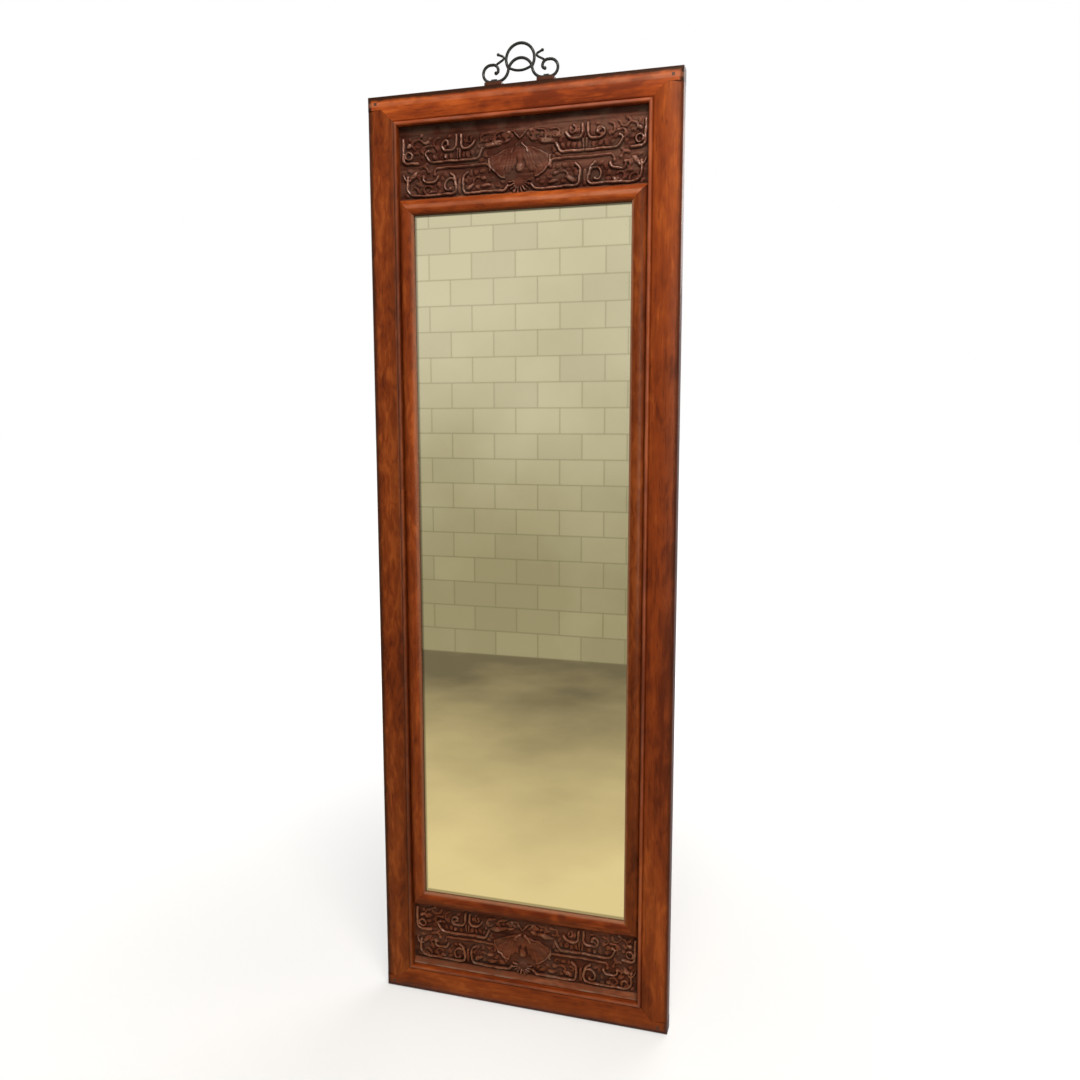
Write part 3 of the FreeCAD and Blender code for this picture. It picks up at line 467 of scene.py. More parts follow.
    @staticmethod
    @cache
    def painted_highlight_line() -> bpy.types.NodeTree:
        """Paler line along a bead or crest of the front, a painted highlight, from coordinates about the
        middle.

        Returns:
            The node group.
        """
        tree, enter, leave = Effects.start("Painted highlight line", ("Across", "Up", "Width", "Amount"))
        outset = tree.math("MAXIMUM", *tree.beyond(enter["Vector"], enter["Across"], enter["Up"]))
        share = tree.math("DIVIDE", outset, enter["Width"])
        back = tree.product(tree.band(share, 0.08, 0.40), tree.band(share, 0.97, 0.66))
        broken = tree.band(tree.noise(enter["Vector"], 26.0, 4.0), 0.36, 0.66, 0.45, 1.0)
        front = tree.band(tree.apart(enter["Vector"])[1], -0.004, -0.009)
        tree.feed(leave["Mask"], tree.product(back, broken, front, enter["Amount"]))
        return tree.tree

    @staticmethod
    @cache
    def joint_lines() -> bpy.types.NodeTree:
        """Hairlines of the corner joints, from coordinates about the middle of the frame.

        Returns:
            The node group.
        """
        tree, enter, leave = Effects.start("Joint lines", ("Across", "Up", "Mitre", "Width"))
        out, rise = tree.beyond(enter["Vector"], enter["Across"], enter["Up"])

        def near(first: Value, second: Value) -> Socket:
            """Where two values are the same within the line's width."""
            gap = tree.math("ABSOLUTE", tree.math("SUBTRACT", first, second))
            return tree.math("LESS_THAN", gap, enter["Width"])

        begun = tree.math("GREATER_THAN", rise, -0.0005)
        within = tree.product(begun, tree.math("LESS_THAN", rise, enter["Mitre"]))
        mitre = tree.product(near(out, rise), within)
        butt = tree.product(near(rise, enter["Mitre"]), tree.math("GREATER_THAN", out, enter["Mitre"]))
        tree.feed(leave["Mask"], tree.math("MAXIMUM", mitre, butt))
        return tree.tree


def new_material(name: str) -> tuple[Material, ShaderTree, bpy.types.Node]:
    """Start a material.

    Args:
        name: Name of the material.

    Returns:
        The material, its wrapped tree and its Principled node.
    """
    material = bpy.data.materials.new(name)
    material.use_nodes = True
    return material, ShaderTree(material.node_tree), material.node_tree.nodes["Principled BSDF"]


def set_plain(shader: bpy.types.Node, values: dict[str, object]) -> None:
    """Set values that are the same all over the surface on a shader's own sockets.

    Args:
        shader: The shader.
        values: Values by socket name.
    """
    for label, value in values.items():
        shader.inputs[label].default_value = value


@dataclass(frozen=True)
class CrestHighlight:
    """Painted highlight along the crest of a level moulding: height above the frame's middle and width, in
    metres.
    """

    up: float
    width: float
    amount: float


@dataclass(frozen=True)
class PolishedTimber:
    """Polished, worn hardwood of the frames."""

    name: str
    run: GrainRun
    joint: Joint
    # Scales all colours; set per member, it also paints how the light falls on that member.
    tone: float = 1.0
    figure: float = 0.5
    streaks: float = 0.42
    shift: Place = (0.0, 0.0, 0.0)
    stained: float = 0.72
    # Strength of the painted highlight along the bead.
    rub_and_highlight: float = 0.40
    shaded: float = 0.0
    crest: CrestHighlight | None = None
    # Painted along the sight edge: a highlight on most mouldings, painted shade and reflection on the top
    # one.
    sight: Colour = (0.300, 0.140, 0.080)
    dark: Colour = (0.078, 0.0105, 0.0022)
    middle: Colour = (0.165, 0.0280, 0.0048)
    light: Colour = (0.285, 0.0620, 0.0115)
    stain: Colour = (0.012, 0.0025, 0.0012)
    # Near-black laid in quirks and corners: grime and painted shade.
    grime_and_shade: Colour = (0.016, 0.005, 0.002)
    # Colour of the painted highlight on the bead.
    bead: Colour = (0.300, 0.125, 0.085)
    # Colour of the painted highlight along the crest line.
    crest_highlight: Colour = (0.400, 0.150, 0.080)
    shade: Colour = (0.045, 0.0090, 0.0030)
    seam: Colour = (0.030, 0.008, 0.003)
    bead_width: float = 0.007
    seam_width: float = 0.00035
    seam_amount: float = 0.42

    def material(self) -> Material:
        """Build the material: grain, grime and painted shade in the quirks, worn edges, painted light along
        the inner edges, and joint lines under a soft polish.

        Returns:
            The material.
        """
        material, tree, shader = new_material(self.name)
        where, centred = tree.place(self.shift, self.run), tree.place(TO_FRAME_MIDDLE)
        dark, middle, light = (tuple(value * self.tone for value in shade)
                               for shade in (self.dark, self.middle, self.light))
        grain = tree.group(Effects.timber_grain(), Vector=where, Dark=dark, Middle=middle, Light=light,
                           Streaks=self.streaks, Figure=self.figure, Pores=0.5)
        wear = tree.mask(Effects.edge_wear(), Vector=where, Radius=0.0012, Amount=0.35)
        # Darkening where ambient occlusion finds a hollow: grime and painted shade.
        grime_and_shade = tree.mask(Effects.hollow_grime_and_shade(), Vector=where, Reach=0.005, Amount=0.30)
        edge = tree.mask(Effects.stained_edge(), Vector=centred, Amount=self.stained)
        worn = tuple(min(1.0, value * 1.25 + 0.01) for value in light)
        colour = grain.outputs["Color"]
        for mask, coat in ((wear, worn), (edge, self.stain), (grime_and_shade, self.grime_and_shade), *self.lines(tree, centred)):
            colour = tree.mix(mask, colour, coat)
        rough = tree.band(grain.outputs["Tone"], 0.2, 0.9, 0.40, 0.28)
        dulled = tree.product(tree.math("ADD", grime_and_shade, edge), 0.3)
        tree.feed(shader.inputs["Base Color"], colour)
        tree.feed(shader.inputs["Roughness"], tree.math("ADD", rough, dulled, clamp=True))
        tree.feed(shader.inputs["Normal"], tree.bump(grain.outputs["Height"], 0.22, 0.0004))
        set_plain(shader, {"Specular IOR Level": 0.16, "Specular Tint": (1.0, 0.78, 0.55, 1.0),
                           "Coat Weight": 0.07, "Coat Roughness": 0.17})
        return material

    def lines(self, tree: ShaderTree, centred: Socket) -> list[tuple[Socket, Colour]]:
        """Lines along the member, from the painted light along its inner edge to the joint's hairline.

        Args:
            tree: Tree of the material.
            centred: Coordinates about the middle of the frame.

        Returns:
            Masks with their colours, in the order they are laid on.
        """
        corner = self.joint.value
        inner = {"Vector": centred, "Across": corner.across, "Up": corner.up}
        if self.joint is Joint.INNER:
            # Painted highlight, or on the top moulding painted shade, along the sight edge.
            found = [(tree.mask(Effects.sight_edge_light(), **inner), self.sight)]
        else:
            # Painted highlight along the bead.
            rub_and_highlight = tree.mask(Effects.painted_highlight_line(), **inner, Width=self.bead_width, Amount=self.rub_and_highlight)
            found = [(rub_and_highlight, self.bead)]
        # Painted highlight along the crest.
        if self.crest:
            line = tree.mask(Effects.painted_highlight_line(), Vector=centred, Across=1.0, Up=self.crest.up,
                             Width=self.crest.width, Amount=self.crest.amount)
            found.append((line, self.crest_highlight))
        if self.shaded:
            beside, _ = tree.beyond(centred, corner.across, corner.up)
            found.append((tree.band(beside, 0.030, 0.007, 0.0, self.shaded), self.shade))
        seam = tree.mask(Effects.joint_lines(), **inner, Mitre=corner.mitre, Width=self.seam_width)
        return [*found, (tree.product(seam, self.seam_amount), self.seam)]


@dataclass(frozen=True)
class CarvedTimber:
    """Dark stained carving, lighter on its high parts as wear and as painted highlight, and darker in its
    hollows as painted shade.
    """

    name: str
    shift: Place = (0.0, 0.0, 0.0)
    # Tones by relief height: the ground partly painted shade, the crest partly painted highlight.
    ground: Colour = (0.026, 0.0068, 0.0040)
    flank: Colour = (0.066, 0.0185, 0.0105)
    crest: Colour = (0.250, 0.1080, 0.0720)
    # Foot strip: the plain board's lighter colour, partly painted light where it faces the lamp.
    strip: Colour = (0.280, 0.0800, 0.0300)
    # Pale patches along the very foot of the strip.
    foot_pale_patches: Colour = (0.270, 0.1750, 0.1250)
    bloom: Colour = (0.072, 0.046, 0.033)
    # Painted shade in the hollows beside the relief.
    deep: Colour = (0.007, 0.0026, 0.0016)
    deep_dust: Colour = (0.030, 0.0175, 0.0115)
    bare_dark: Colour = (0.060, 0.022, 0.010)
    bare_middle: Colour = (0.120, 0.046, 0.021)
    bare_light: Colour = (0.190, 0.082, 0.040)

    def material(self) -> Material:
        """Build the material from the relief, hollow and foot values that the panel's mesh carries.

        Returns:
            The material.
        """
        material, tree, shader = new_material(self.name)
        where = tree.place(self.shift, GrainRun.LEVEL)
        relief, hollow, foot = (tree.attribute(name) for name in ("relief", "hollow", "foot"))
        grain = tree.group(Effects.timber_grain(), Vector=where, Dark=self.ground, Middle=self.flank,
                           Light=self.crest, Streaks=0.8, Figure=0.3, Pores=0.4)
        raised = tree.math("ADD", relief, tree.swing(tree.noise(where, 75.0, 3.0), 1.0))
        # Colour by height: lighter on the crests as wear and painted highlight, darker on the ground as
        # painted shade.
        stain = tree.mix(tree.band(raised, 0.0, 0.55), self.ground, self.flank)
        stain = tree.mix(tree.band(raised, 0.56, 1.10), stain, self.crest)
        colour = tree.mix(0.38, stain, grain.outputs["Color"])
        streaky = tree.band(grain.outputs["Tone"], 0.28, 0.72, 0.22, 0.92)
        # Lighter foot strip: plain board, partly painted light.
        colour = tree.mix(tree.product(tree.band(foot, 0.0, 0.5), streaky), colour, self.strip)
        dusty = tree.band(tree.noise(where, 33.0, 3.0), 0.46, 0.66, 0.0, 0.7)
        colour = tree.mix(tree.product(dusty, 0.45), colour, self.bloom)
        # Painted shade in the hollows and on the head strip, with dust in patches.
        hollow_shade_and_dust = tree.mix(dusty, self.deep, self.deep_dust)
        colour = tree.mix(tree.band(hollow, 0.08, 0.36, 0.0, 0.88), colour, hollow_shade_and_dust)
        lying = tree.band(tree.noise(where, 24.0, 3.0), 0.40, 0.62, 0.10, 0.75)
        # Pale patches along the very foot of the strip.
        colour = tree.mix(tree.product(tree.band(foot, 0.84, 0.97), lying), colour, self.foot_pale_patches)
        bare = tree.group(Effects.timber_grain(), Vector=where, Dark=self.bare_dark, Middle=self.bare_middle,
                          Light=self.bare_light, Streaks=1.2, Figure=0.2, Pores=0.6)
        colour = tree.mix(tree.band(relief, -0.3, -0.7), colour, bare.outputs["Color"])
        tooled = tree.math("ADD", tree.product(tree.noise(where, 420.0, 2.0), 0.6), grain.outputs["Height"])
        tree.feed(shader.inputs["Base Color"], colour)
        tree.feed(shader.inputs["Roughness"], tree.band(raised, 0.1, 1.0, 0.75, 0.38))
        tree.feed(shader.inputs["Coat Weight"], tree.band(raised, 0.55, 1.0, 0.0, 1.0))
        tree.feed(shader.inputs["Normal"], tree.bump(tooled, 0.45, 0.0006))
        set_plain(shader, {"Specular IOR Level": 0.05, "Coat Roughness": 0.27})
        return material


@dataclass(frozen=True)
class BareTimber:
    """Plain unpolished boards and pegs."""

    name: str
    run: GrainRun
    dark: Colour
    middle: Colour
    light: Colour
    shift: Place = (0.0, 0.0, 0.0)
    grime_and_shade: Colour = (0.018, 0.012, 0.008)

    def material(self) -> Material:
        """Build the material: open grain with grime and painted shade in the hollows, and no polish.

        Returns:
            The material.
        """
        material, tree, shader = new_material(self.name)
        where = tree.place(self.shift, self.run)
        grain = tree.group(Effects.timber_grain(), Vector=where, Dark=self.dark, Middle=self.middle,
                           Light=self.light, Streaks=1.3, Figure=0.2, Pores=0.7)
        # Darkening where ambient occlusion finds a hollow: grime and painted shade.
        grime_and_shade = tree.mask(Effects.hollow_grime_and_shade(), Vector=where, Reach=0.010, Amount=0.8)
        stain = tree.band(tree.noise(where, 7.0, 4.0), 0.45, 0.75, 0.0, 0.45)
        colour = tree.mix(stain, grain.outputs["Color"], tuple(value * 0.45 for value in self.dark))
        tree.feed(shader.inputs["Base Color"], tree.mix(grime_and_shade, colour, self.grime_and_shade))
        tree.feed(shader.inputs["Roughness"], tree.band(grain.outputs["Tone"], 0.2, 0.9, 0.86, 0.70))
        tree.feed(shader.inputs["Normal"], tree.bump(grain.outputs["Height"], 0.5, 0.0006))
        return material


@dataclass(frozen=True)
class ForgedIron:
    """Hammered iron, blackened or painted, with rust in the hollows."""

    name: str
    base: Colour = (0.0085, 0.0088, 0.0094)
    rub_and_highlight: Colour = (0.036, 0.0365, 0.038)
    rust: Colour = (0.030, 0.0165, 0.0115)
    rust_amount: float = 0.25
    metallic: float = 0.55
    gloss: float = 0.5

    def material(self) -> Material:
        """Build the material: hammer marks, a rubbed sheen and rust bloom.

        Returns:
            The material.
        """
        material, tree, shader = new_material(self.name)
        where = tree.place()
        wear = tree.mask(Effects.edge_wear(), Vector=where, Radius=0.0008, Amount=0.8)
        grime_and_shade = tree.mask(Effects.hollow_grime_and_shade(), Vector=where, Reach=0.004, Amount=1.0)
        sheen = tree.band(tree.noise(where, 190.0, 3.0), 0.40, 0.72)
        bloom = tree.band(tree.noise(where, 140.0, 5.0, 0.8), 0.50, 0.72, 0.0, self.rust_amount)
        colour = tree.mix(tree.product(sheen, 0.5), self.base, self.rub_and_highlight)
        colour = tree.mix(wear, colour, self.rub_and_highlight)
        # Rust gathers in the hollows that this mask finds.
        rusty = tree.math("MAXIMUM", bloom, tree.product(grime_and_shade, self.rust_amount))
        colour = tree.mix(rusty, colour, self.rust)
        scale = tree.product(tree.noise(where, 1100.0, 2.0), 0.3)
        hammer = tree.math("ADD", tree.noise(where, 230.0, 1.0), scale)
        smooth = tree.math("SUBTRACT", sheen, bloom)
        tree.feed(shader.inputs["Base Color"], colour)
        tree.feed(shader.inputs["Roughness"], tree.band(smooth, -0.3, 1.0, 0.66, 0.36))
        tree.feed(shader.inputs["Normal"], tree.bump(hammer, 0.35, 0.0006))
        set_plain(shader, {"Metallic": self.metallic, "Specular IOR Level": self.gloss})
        return material


@dataclass(frozen=True)
class SilveredGlass:
    """Old mirror plate: a little warm, faintly wavy, and darkened along its edges, partly as tarnishing and
    partly as painted shadow and reflection of the moulding.
    """

    name: str
    sight: Corner = Joint.INNER.value
    silver: Colour = (0.86, 0.855, 0.80)
    cloud: Colour = (0.74, 0.725, 0.64)
    # Colour of the edge lines (painted shadow and reflection of the moulding) and of the foxing specks.
    shade_and_tarnish: Colour = (0.055, 0.045, 0.032)

    def material(self) -> Material:
        """Build the material: silver with a soft bloom, dark edge lines of painted shadow and reflection with
        some tarnishing, foxing specks and a slight wave.

        Returns:
            The material.
        """
        material, tree, shader = new_material(self.name)
        where = tree.place(TO_FRAME_MIDDLE)
        x, _, z = tree.apart(where)
        outset = tree.math("MAXIMUM", *tree.beyond(where, self.sight.across, self.sight.up))
        head = tree.math("SUBTRACT", self.sight.up, z)
        left, foot = tree.math("ADD", self.sight.across, x), tree.math("ADD", self.sight.up, z)
        # Dark lines along the edges: painted shadow and reflection of the moulding, strongest under the top.
        line = tree.band(outset, -0.0014, -0.0008, 0.0, 0.6)
        for inset, clear, dark, amount in ((head, 0.0050, 0.0024, 1.0), (left, 0.0062, 0.0026, 0.70),
                                           (foot, 0.0085, 0.0055, 0.62)):
            line = tree.math("MAXIMUM", line, tree.band(inset, clear, dark, 0.0, amount))
        speck = tree.band(tree.noise(where, 520.0, 3.0), 0.66, 0.70)
        foxing = tree.product(speck, tree.band(outset, -0.016, -0.002), 0.7)
        bloom = tree.band(tree.noise(where, 6.0, 4.0), 0.35, 0.75, 0.0, 0.10)
        colour = tree.mix(bloom, self.silver, self.cloud)
        colour = tree.mix(tree.math("MAXIMUM", tree.product(line, 0.85), foxing), colour, self.shade_and_tarnish)
        tree.feed(shader.inputs["Base Color"], colour)
        tree.feed(shader.inputs["Roughness"], tree.math("ADD", tree.product(foxing, 0.4), 0.018))
        tree.feed(shader.inputs["Normal"], tree.bump(tree.noise(where, 3.0, 1.0), 0.05, 0.002))
        set_plain(shader, {"Metallic": 1.0})
        return material


@dataclass(frozen=True)
class Run:
    """Straight stretch of a carved stroke, in millimetres."""

    length: float


@dataclass(frozen=True)
class Bend:
    """Curved stretch of a carved stroke: radius in millimetres, turn in degrees, positive to the left."""

    radius: float
    turn: float


Step = Run | Bend


@dataclass(frozen=True)
class Stroke:
    """Carved ribbon of a panel's right half, in millimetres from the panel's middle.

    It starts at a point and heading, narrows from width to tip, and may end in a round bud.
    """

    start: Point
    heading: float
    steps: tuple[Step, ...]
    width: float = 4.8
    tip: float = 4.2
    bud: float = 0.0
    rise: float = 1.0

    def path(self, gap: float = 0.35) -> np.ndarray:
        """Points along the stroke.

        Args:
            gap: Distance between points.

        Returns:
            Rows of x, z and the share of the length.
        """
        spot, heading = np.array(self.start, float), math.radians(self.heading)
        rows = [spot.copy()]
        for step in self.steps:
            turn = math.radians(step.turn) if isinstance(step, Bend) else 0.0
            length = abs(step.radius * turn) if isinstance(step, Bend) else step.length
            count = max(2, round(length / gap))
            for _ in range(count):
                middle = heading + turn / count / 2
                spot = spot + np.array((math.cos(middle), math.sin(middle))) * length / count
                heading += turn / count
                rows.append(spot.copy())
        points = np.array(rows)
        return np.column_stack((points, np.linspace(0.0, 1.0, len(points))))


@dataclass(frozen=True)
class Leaf:
    """Small carved leaf, bud or dome: a rounded oval, slit along it or plain, in millimetres and degrees."""

    middle: Point
    length: float
    width: float
    heading: float
    rise: float = 0.66
    slit: bool = True


# Main bars, cups and curls of the right half.
STROKES: tuple[Stroke, ...] = (
    Stroke((20, -40.5), -50, (Run(6), Bend(8, 50), Run(63), Bend(8, 88), Run(8)), 5.8, 5.4),
    Stroke((115.5, -33), -90, (Run(5), Bend(9, 90), Run(65), Bend(14, 92), Run(16)), 5.8, 5.0, 3.2),
    Stroke((116, -34), 90, (Run(1), Bend(11, -205), Bend(6, -110)), 5.2, 4.0, 3.1),
    Stroke((63, 21), -63, (Run(13), Bend(6, 63), Run(84), Bend(11, 62), Run(8), Bend(4, 110), Run(1)),
           6.0, 4.4, 3.0),
    Stroke((52, -15), 100, (Run(2), Bend(8, -100), Run(92), Bend(7, -85), Run(3)), 5.4, 4.4, 3.2, 0.8),
    Stroke((78, 35), -52, (Run(5), Bend(15, 50), Run(5), Bend(8, 92), Run(14)), 5.6, 5.6, 0.0),
    Stroke((115, 47.5), -90, (Run(14), Bend(10, 90), Run(10), Bend(8, 150), Run(1), Bend(5, 150)),
           5.6, 4.2, 3.1),
    Stroke((107.4, 24), -88, (Run(13),), 4.8, 3.8, 0.0, 0.86),
    Stroke((113.2, 24), -92, (Run(13),), 4.8, 3.8, 0.0, 0.86),
    Stroke((209.5, 46), -90, (Run(32), Bend(8, -90), Run(16)), 5.8, 6.0),
    Stroke((206, 18), 90, (Bend(6, 330),), 4.4, 3.8, 2.8),
    Stroke((199, -22), -30, (Bend(6, 95), Run(8)), 4.8, 3.2),
    Stroke((152, -17), -75, (Run(2), Bend(8, 70), Run(10), Bend(7, 110), Run(2)), 5.6, 4.2, 3.0),
    Stroke((93, -14), -35, (Run(6), Bend(9, -50), Run(9)), 5.6, 5.2),
    Stroke((127, -14), -145, (Run(6), Bend(9, 50), Run(9)), 5.6, 5.2),
    Stroke((110, -25), -90, (Run(21),), 5.6, 5.6),
)

# Small work between them, cut lower.
FILLING: tuple[Stroke | Leaf, ...] = (
    Stroke((10, 45), 5, (Run(7), Bend(8, -60), Run(4)), 5.2, 4.0, 2.9, 0.72),
    Stroke((31, 46), -12, (Run(9), Bend(7, -100), Run(2)), 5.2, 4.0, 2.9, 0.72),
    Stroke((53, 45), -8, (Run(9), Bend(6, -135), Run(2), Bend(4, -80)), 5.2, 3.8, 2.8, 0.72),
    Stroke((90, 46), -40, (Run(3), Bend(5.5, -140), Bend(3.4, -140)), 5.0, 3.6, 2.8, 0.72),
    Stroke((138, 39), -150, (Run(2), Bend(5, 150)), 4.6, 3.6, 2.8, 0.72),
    Stroke((151, 45), -30, (Run(6), Bend(7, -120), Run(2)), 5.2, 3.8, 2.8, 0.72),
    Stroke((166, 46), -60, (Run(5), Bend(7, 110), Run(3), Bend(5, 120)), 5.4, 4.0, 2.9, 0.72),
    Stroke((186, 45), -20, (Run(5), Bend(7, -115), Run(2)), 5.0, 3.8, 2.8, 0.72),
    Stroke((164, 33), 5, (Run(7), Bend(6.5, -130), Run(2)), 5.2, 3.8, 2.8, 0.72),
    Stroke((183, -1), 170, (Run(5), Bend(7, 80), Run(4)), 5.4, 4.2, 3.0, 0.72),
    Stroke((70, -25), 15, (Run(4), Bend(6, -140), Run(1)), 5.2, 3.8, 2.8, 0.72),
    Stroke((164, -34), 60, (Bend(6.5, -310),), 4.8, 4.0, 2.8, 0.72),
    Stroke((184, -42), 70, (Run(4), Bend(6.5, -200), Bend(4, -90)), 5.2, 3.8, 2.8, 0.72),
    Stroke((174, -16), 20, (Run(3), Bend(5.5, -150), Run(2)), 5.0, 3.8, 2.8, 0.72),
    Leaf((83, 17), 11, 7.5, 60), Leaf((92, 14.5), 10, 7.5, 80), Leaf((101, 15), 10, 7, 100),
    Leaf((125, 14), 10, 7, 75), Leaf((136, 14), 8, 7.5, 90, 0.9, False), Leaf((146, 15), 11, 7, 110),
    Leaf((157, 15), 10, 7, 60), Leaf((73, 16), 10, 6.5, 120), Leaf((65, -15), 10, 7.5, 20),
    Leaf((77, -15.5), 9, 7.5, -20), Leaf((88, -16), 9, 7.5, 60), Leaf((62, -26), 12, 7, 0, 0.9, False),
    Leaf((87, -37), 19, 7.5, -28, 0.95), Leaf((57, -38), 19, 6.5, 2, 0.85), Leaf((38, -38), 13, 7, 14),
    Leaf((49, -29), 11, 6.5, -35), Leaf((96, -28), 10, 6.5, 60), Leaf((74, -39.5), 9, 5.5, 10),
    Leaf((30, -34), 9, 6.5, 60), Leaf((92, -23), 8, 6, -20), Leaf((162, -41.5), 14, 6, 0, 0.9),
    Leaf((150, -32), 12, 7, 70), Leaf((149, -41.5), 10, 5.5, -15), Leaf((176, -40), 10, 6, 50),
    Leaf((184, -28), 12, 7, 20), Leaf((137, -16), 10, 7.5, 30), Leaf((144, -22), 10, 6.5, -60),
    Leaf((194, -42), 8, 5, 40), Leaf((193.5, -14.5), 20, 8.5, -47, 1.0), Leaf((186, -16), 10, 6, -60),
    Leaf((200, -6), 11, 6.5, 20), Leaf((205, -46), 11, 6, 45), Leaf((200, 34), 12, 7.5, -25, 1.0),
    Leaf((199, 44), 9, 6, 70), Leaf((188, 33), 10, 7, 30), Leaf((178, 27), 11, 7, -30),
    Leaf((161, 24), 11, 7, 20), Leaf((152, 29), 10, 6.5, 80), Leaf((188, 22), 10, 7, 10),
    Leaf((178, 16), 9, 6.5, 70), Leaf((98, 37), 9, 6, 60), Leaf((130, 45), 9, 6, -10),
    Leaf((66, 34), 11, 7, -45), Leaf((70, 25), 9, 6, 70), Leaf((22, 38), 12, 6.5, -30),
    Leaf((46, 37), 13, 6.5, -12), Leaf((36, 38), 8, 5.5, 60), Leaf((140, 27), 9, 6, 20),
    Leaf((65, 3), 11, 6.5, -20), Leaf((59, 10), 10, 6.5, 60), Leaf((172, 4), 9, 6, -40),
    Leaf((14, 38), 9, 6, 60),
)

# The bat at the middle: right wing with its ribs and rim, leaves, arms, body and head, face lines and fan.
WING: tuple[Point, ...] = (
    (1, 22), (10, 21.5), (22, 18), (38, 12), (50, 7), (53, 2), (52, -5), (48, -12), (41, -20),
    (32, -27), (25, -28.5), (22, -21), (17, -22), (15, -14.5), (9.5, -14), (7, -3), (3, 6),
)
WING_RIBS: tuple[tuple[Point, Point], ...] = (
    ((9, 15), (15, -13)), ((13, 15), (22, -20)), ((18, 14), (31, -24)),
    ((24, 13), (42, -17)), ((30, 11), (50, -6)),
)
WING_RIM: tuple[Point, ...] = (
    (53, 4), (53, -1), (51, -7), (47.5, -13), (43, -18), (38, -22.5), (32, -26.5), (26, -28),
)
BAT_LEAVES: tuple[Leaf, ...] = (
    Leaf((45, 27), 34, 9.0, -9, 0.92), Leaf((22, 31), 15, 6.5, -20, 0.8), Leaf((60, 12), 11, 5.5, -60, 0.7),
    Leaf((19, 44), 9, 6.0, 50, 0.95, False), Leaf((28, 40), 10, 5.0, -30, 0.7),
)
BAT_ARMS: tuple[Stroke, ...] = (
    Stroke((4, 24), -40, (Run(6), Bend(14, -30), Run(4)), 4.6, 3.2, 0.0, 0.95),
    Stroke((8.5, 42), -132, (Run(13),), 4.4, 3.4, 0.0, 0.9),
    Stroke((16, 18), -16, (Run(14), Bend(40, -14), Run(12)), 3.8, 3.0, 0.0, 0.80),
)
BAT_BODY: tuple[Leaf, ...] = (
    Leaf((0, 6), 26, 10, 90, 0.60, False), Leaf((0, -12.5), 17, 13.6, 90, 0.86, False),
)
BAT_FACE: tuple[tuple[Point, Point, float, float], ...] = (
    ((0.0, -6.5), (8.0, -8.0), 1.0, 1.2), ((0.0, -15.5), (4.5, -14.5), 0.9, 1.0),
)
FAN: Leaf = Leaf((0, -36), 18, 14, 0, 0.42, False)
RAY: Run = Run(8.5)
RAY_ROOT: Point = (9.0, 8.0)
RAY_TURNS: tuple[float, ...] = (-78.0, -58.0, -38.0, -16.0, 6.0)

# Grooves that part the paired stems.
STEM_GROOVES: tuple[tuple[Point, Point], ...] = (
    ((110.2, 46.0), (110.2, 2.0)), ((110.0, -26.0), (110.0, -48.0)),
)

# By distance from the middle, how far the left half is drawn in, or out where negative.
LEFT_HALF: tuple[Point, ...] = ((0, 0), (35, 0), (68, -2), (107, 4), (156, 7), (190, 4), (209, 2), (216, 2))


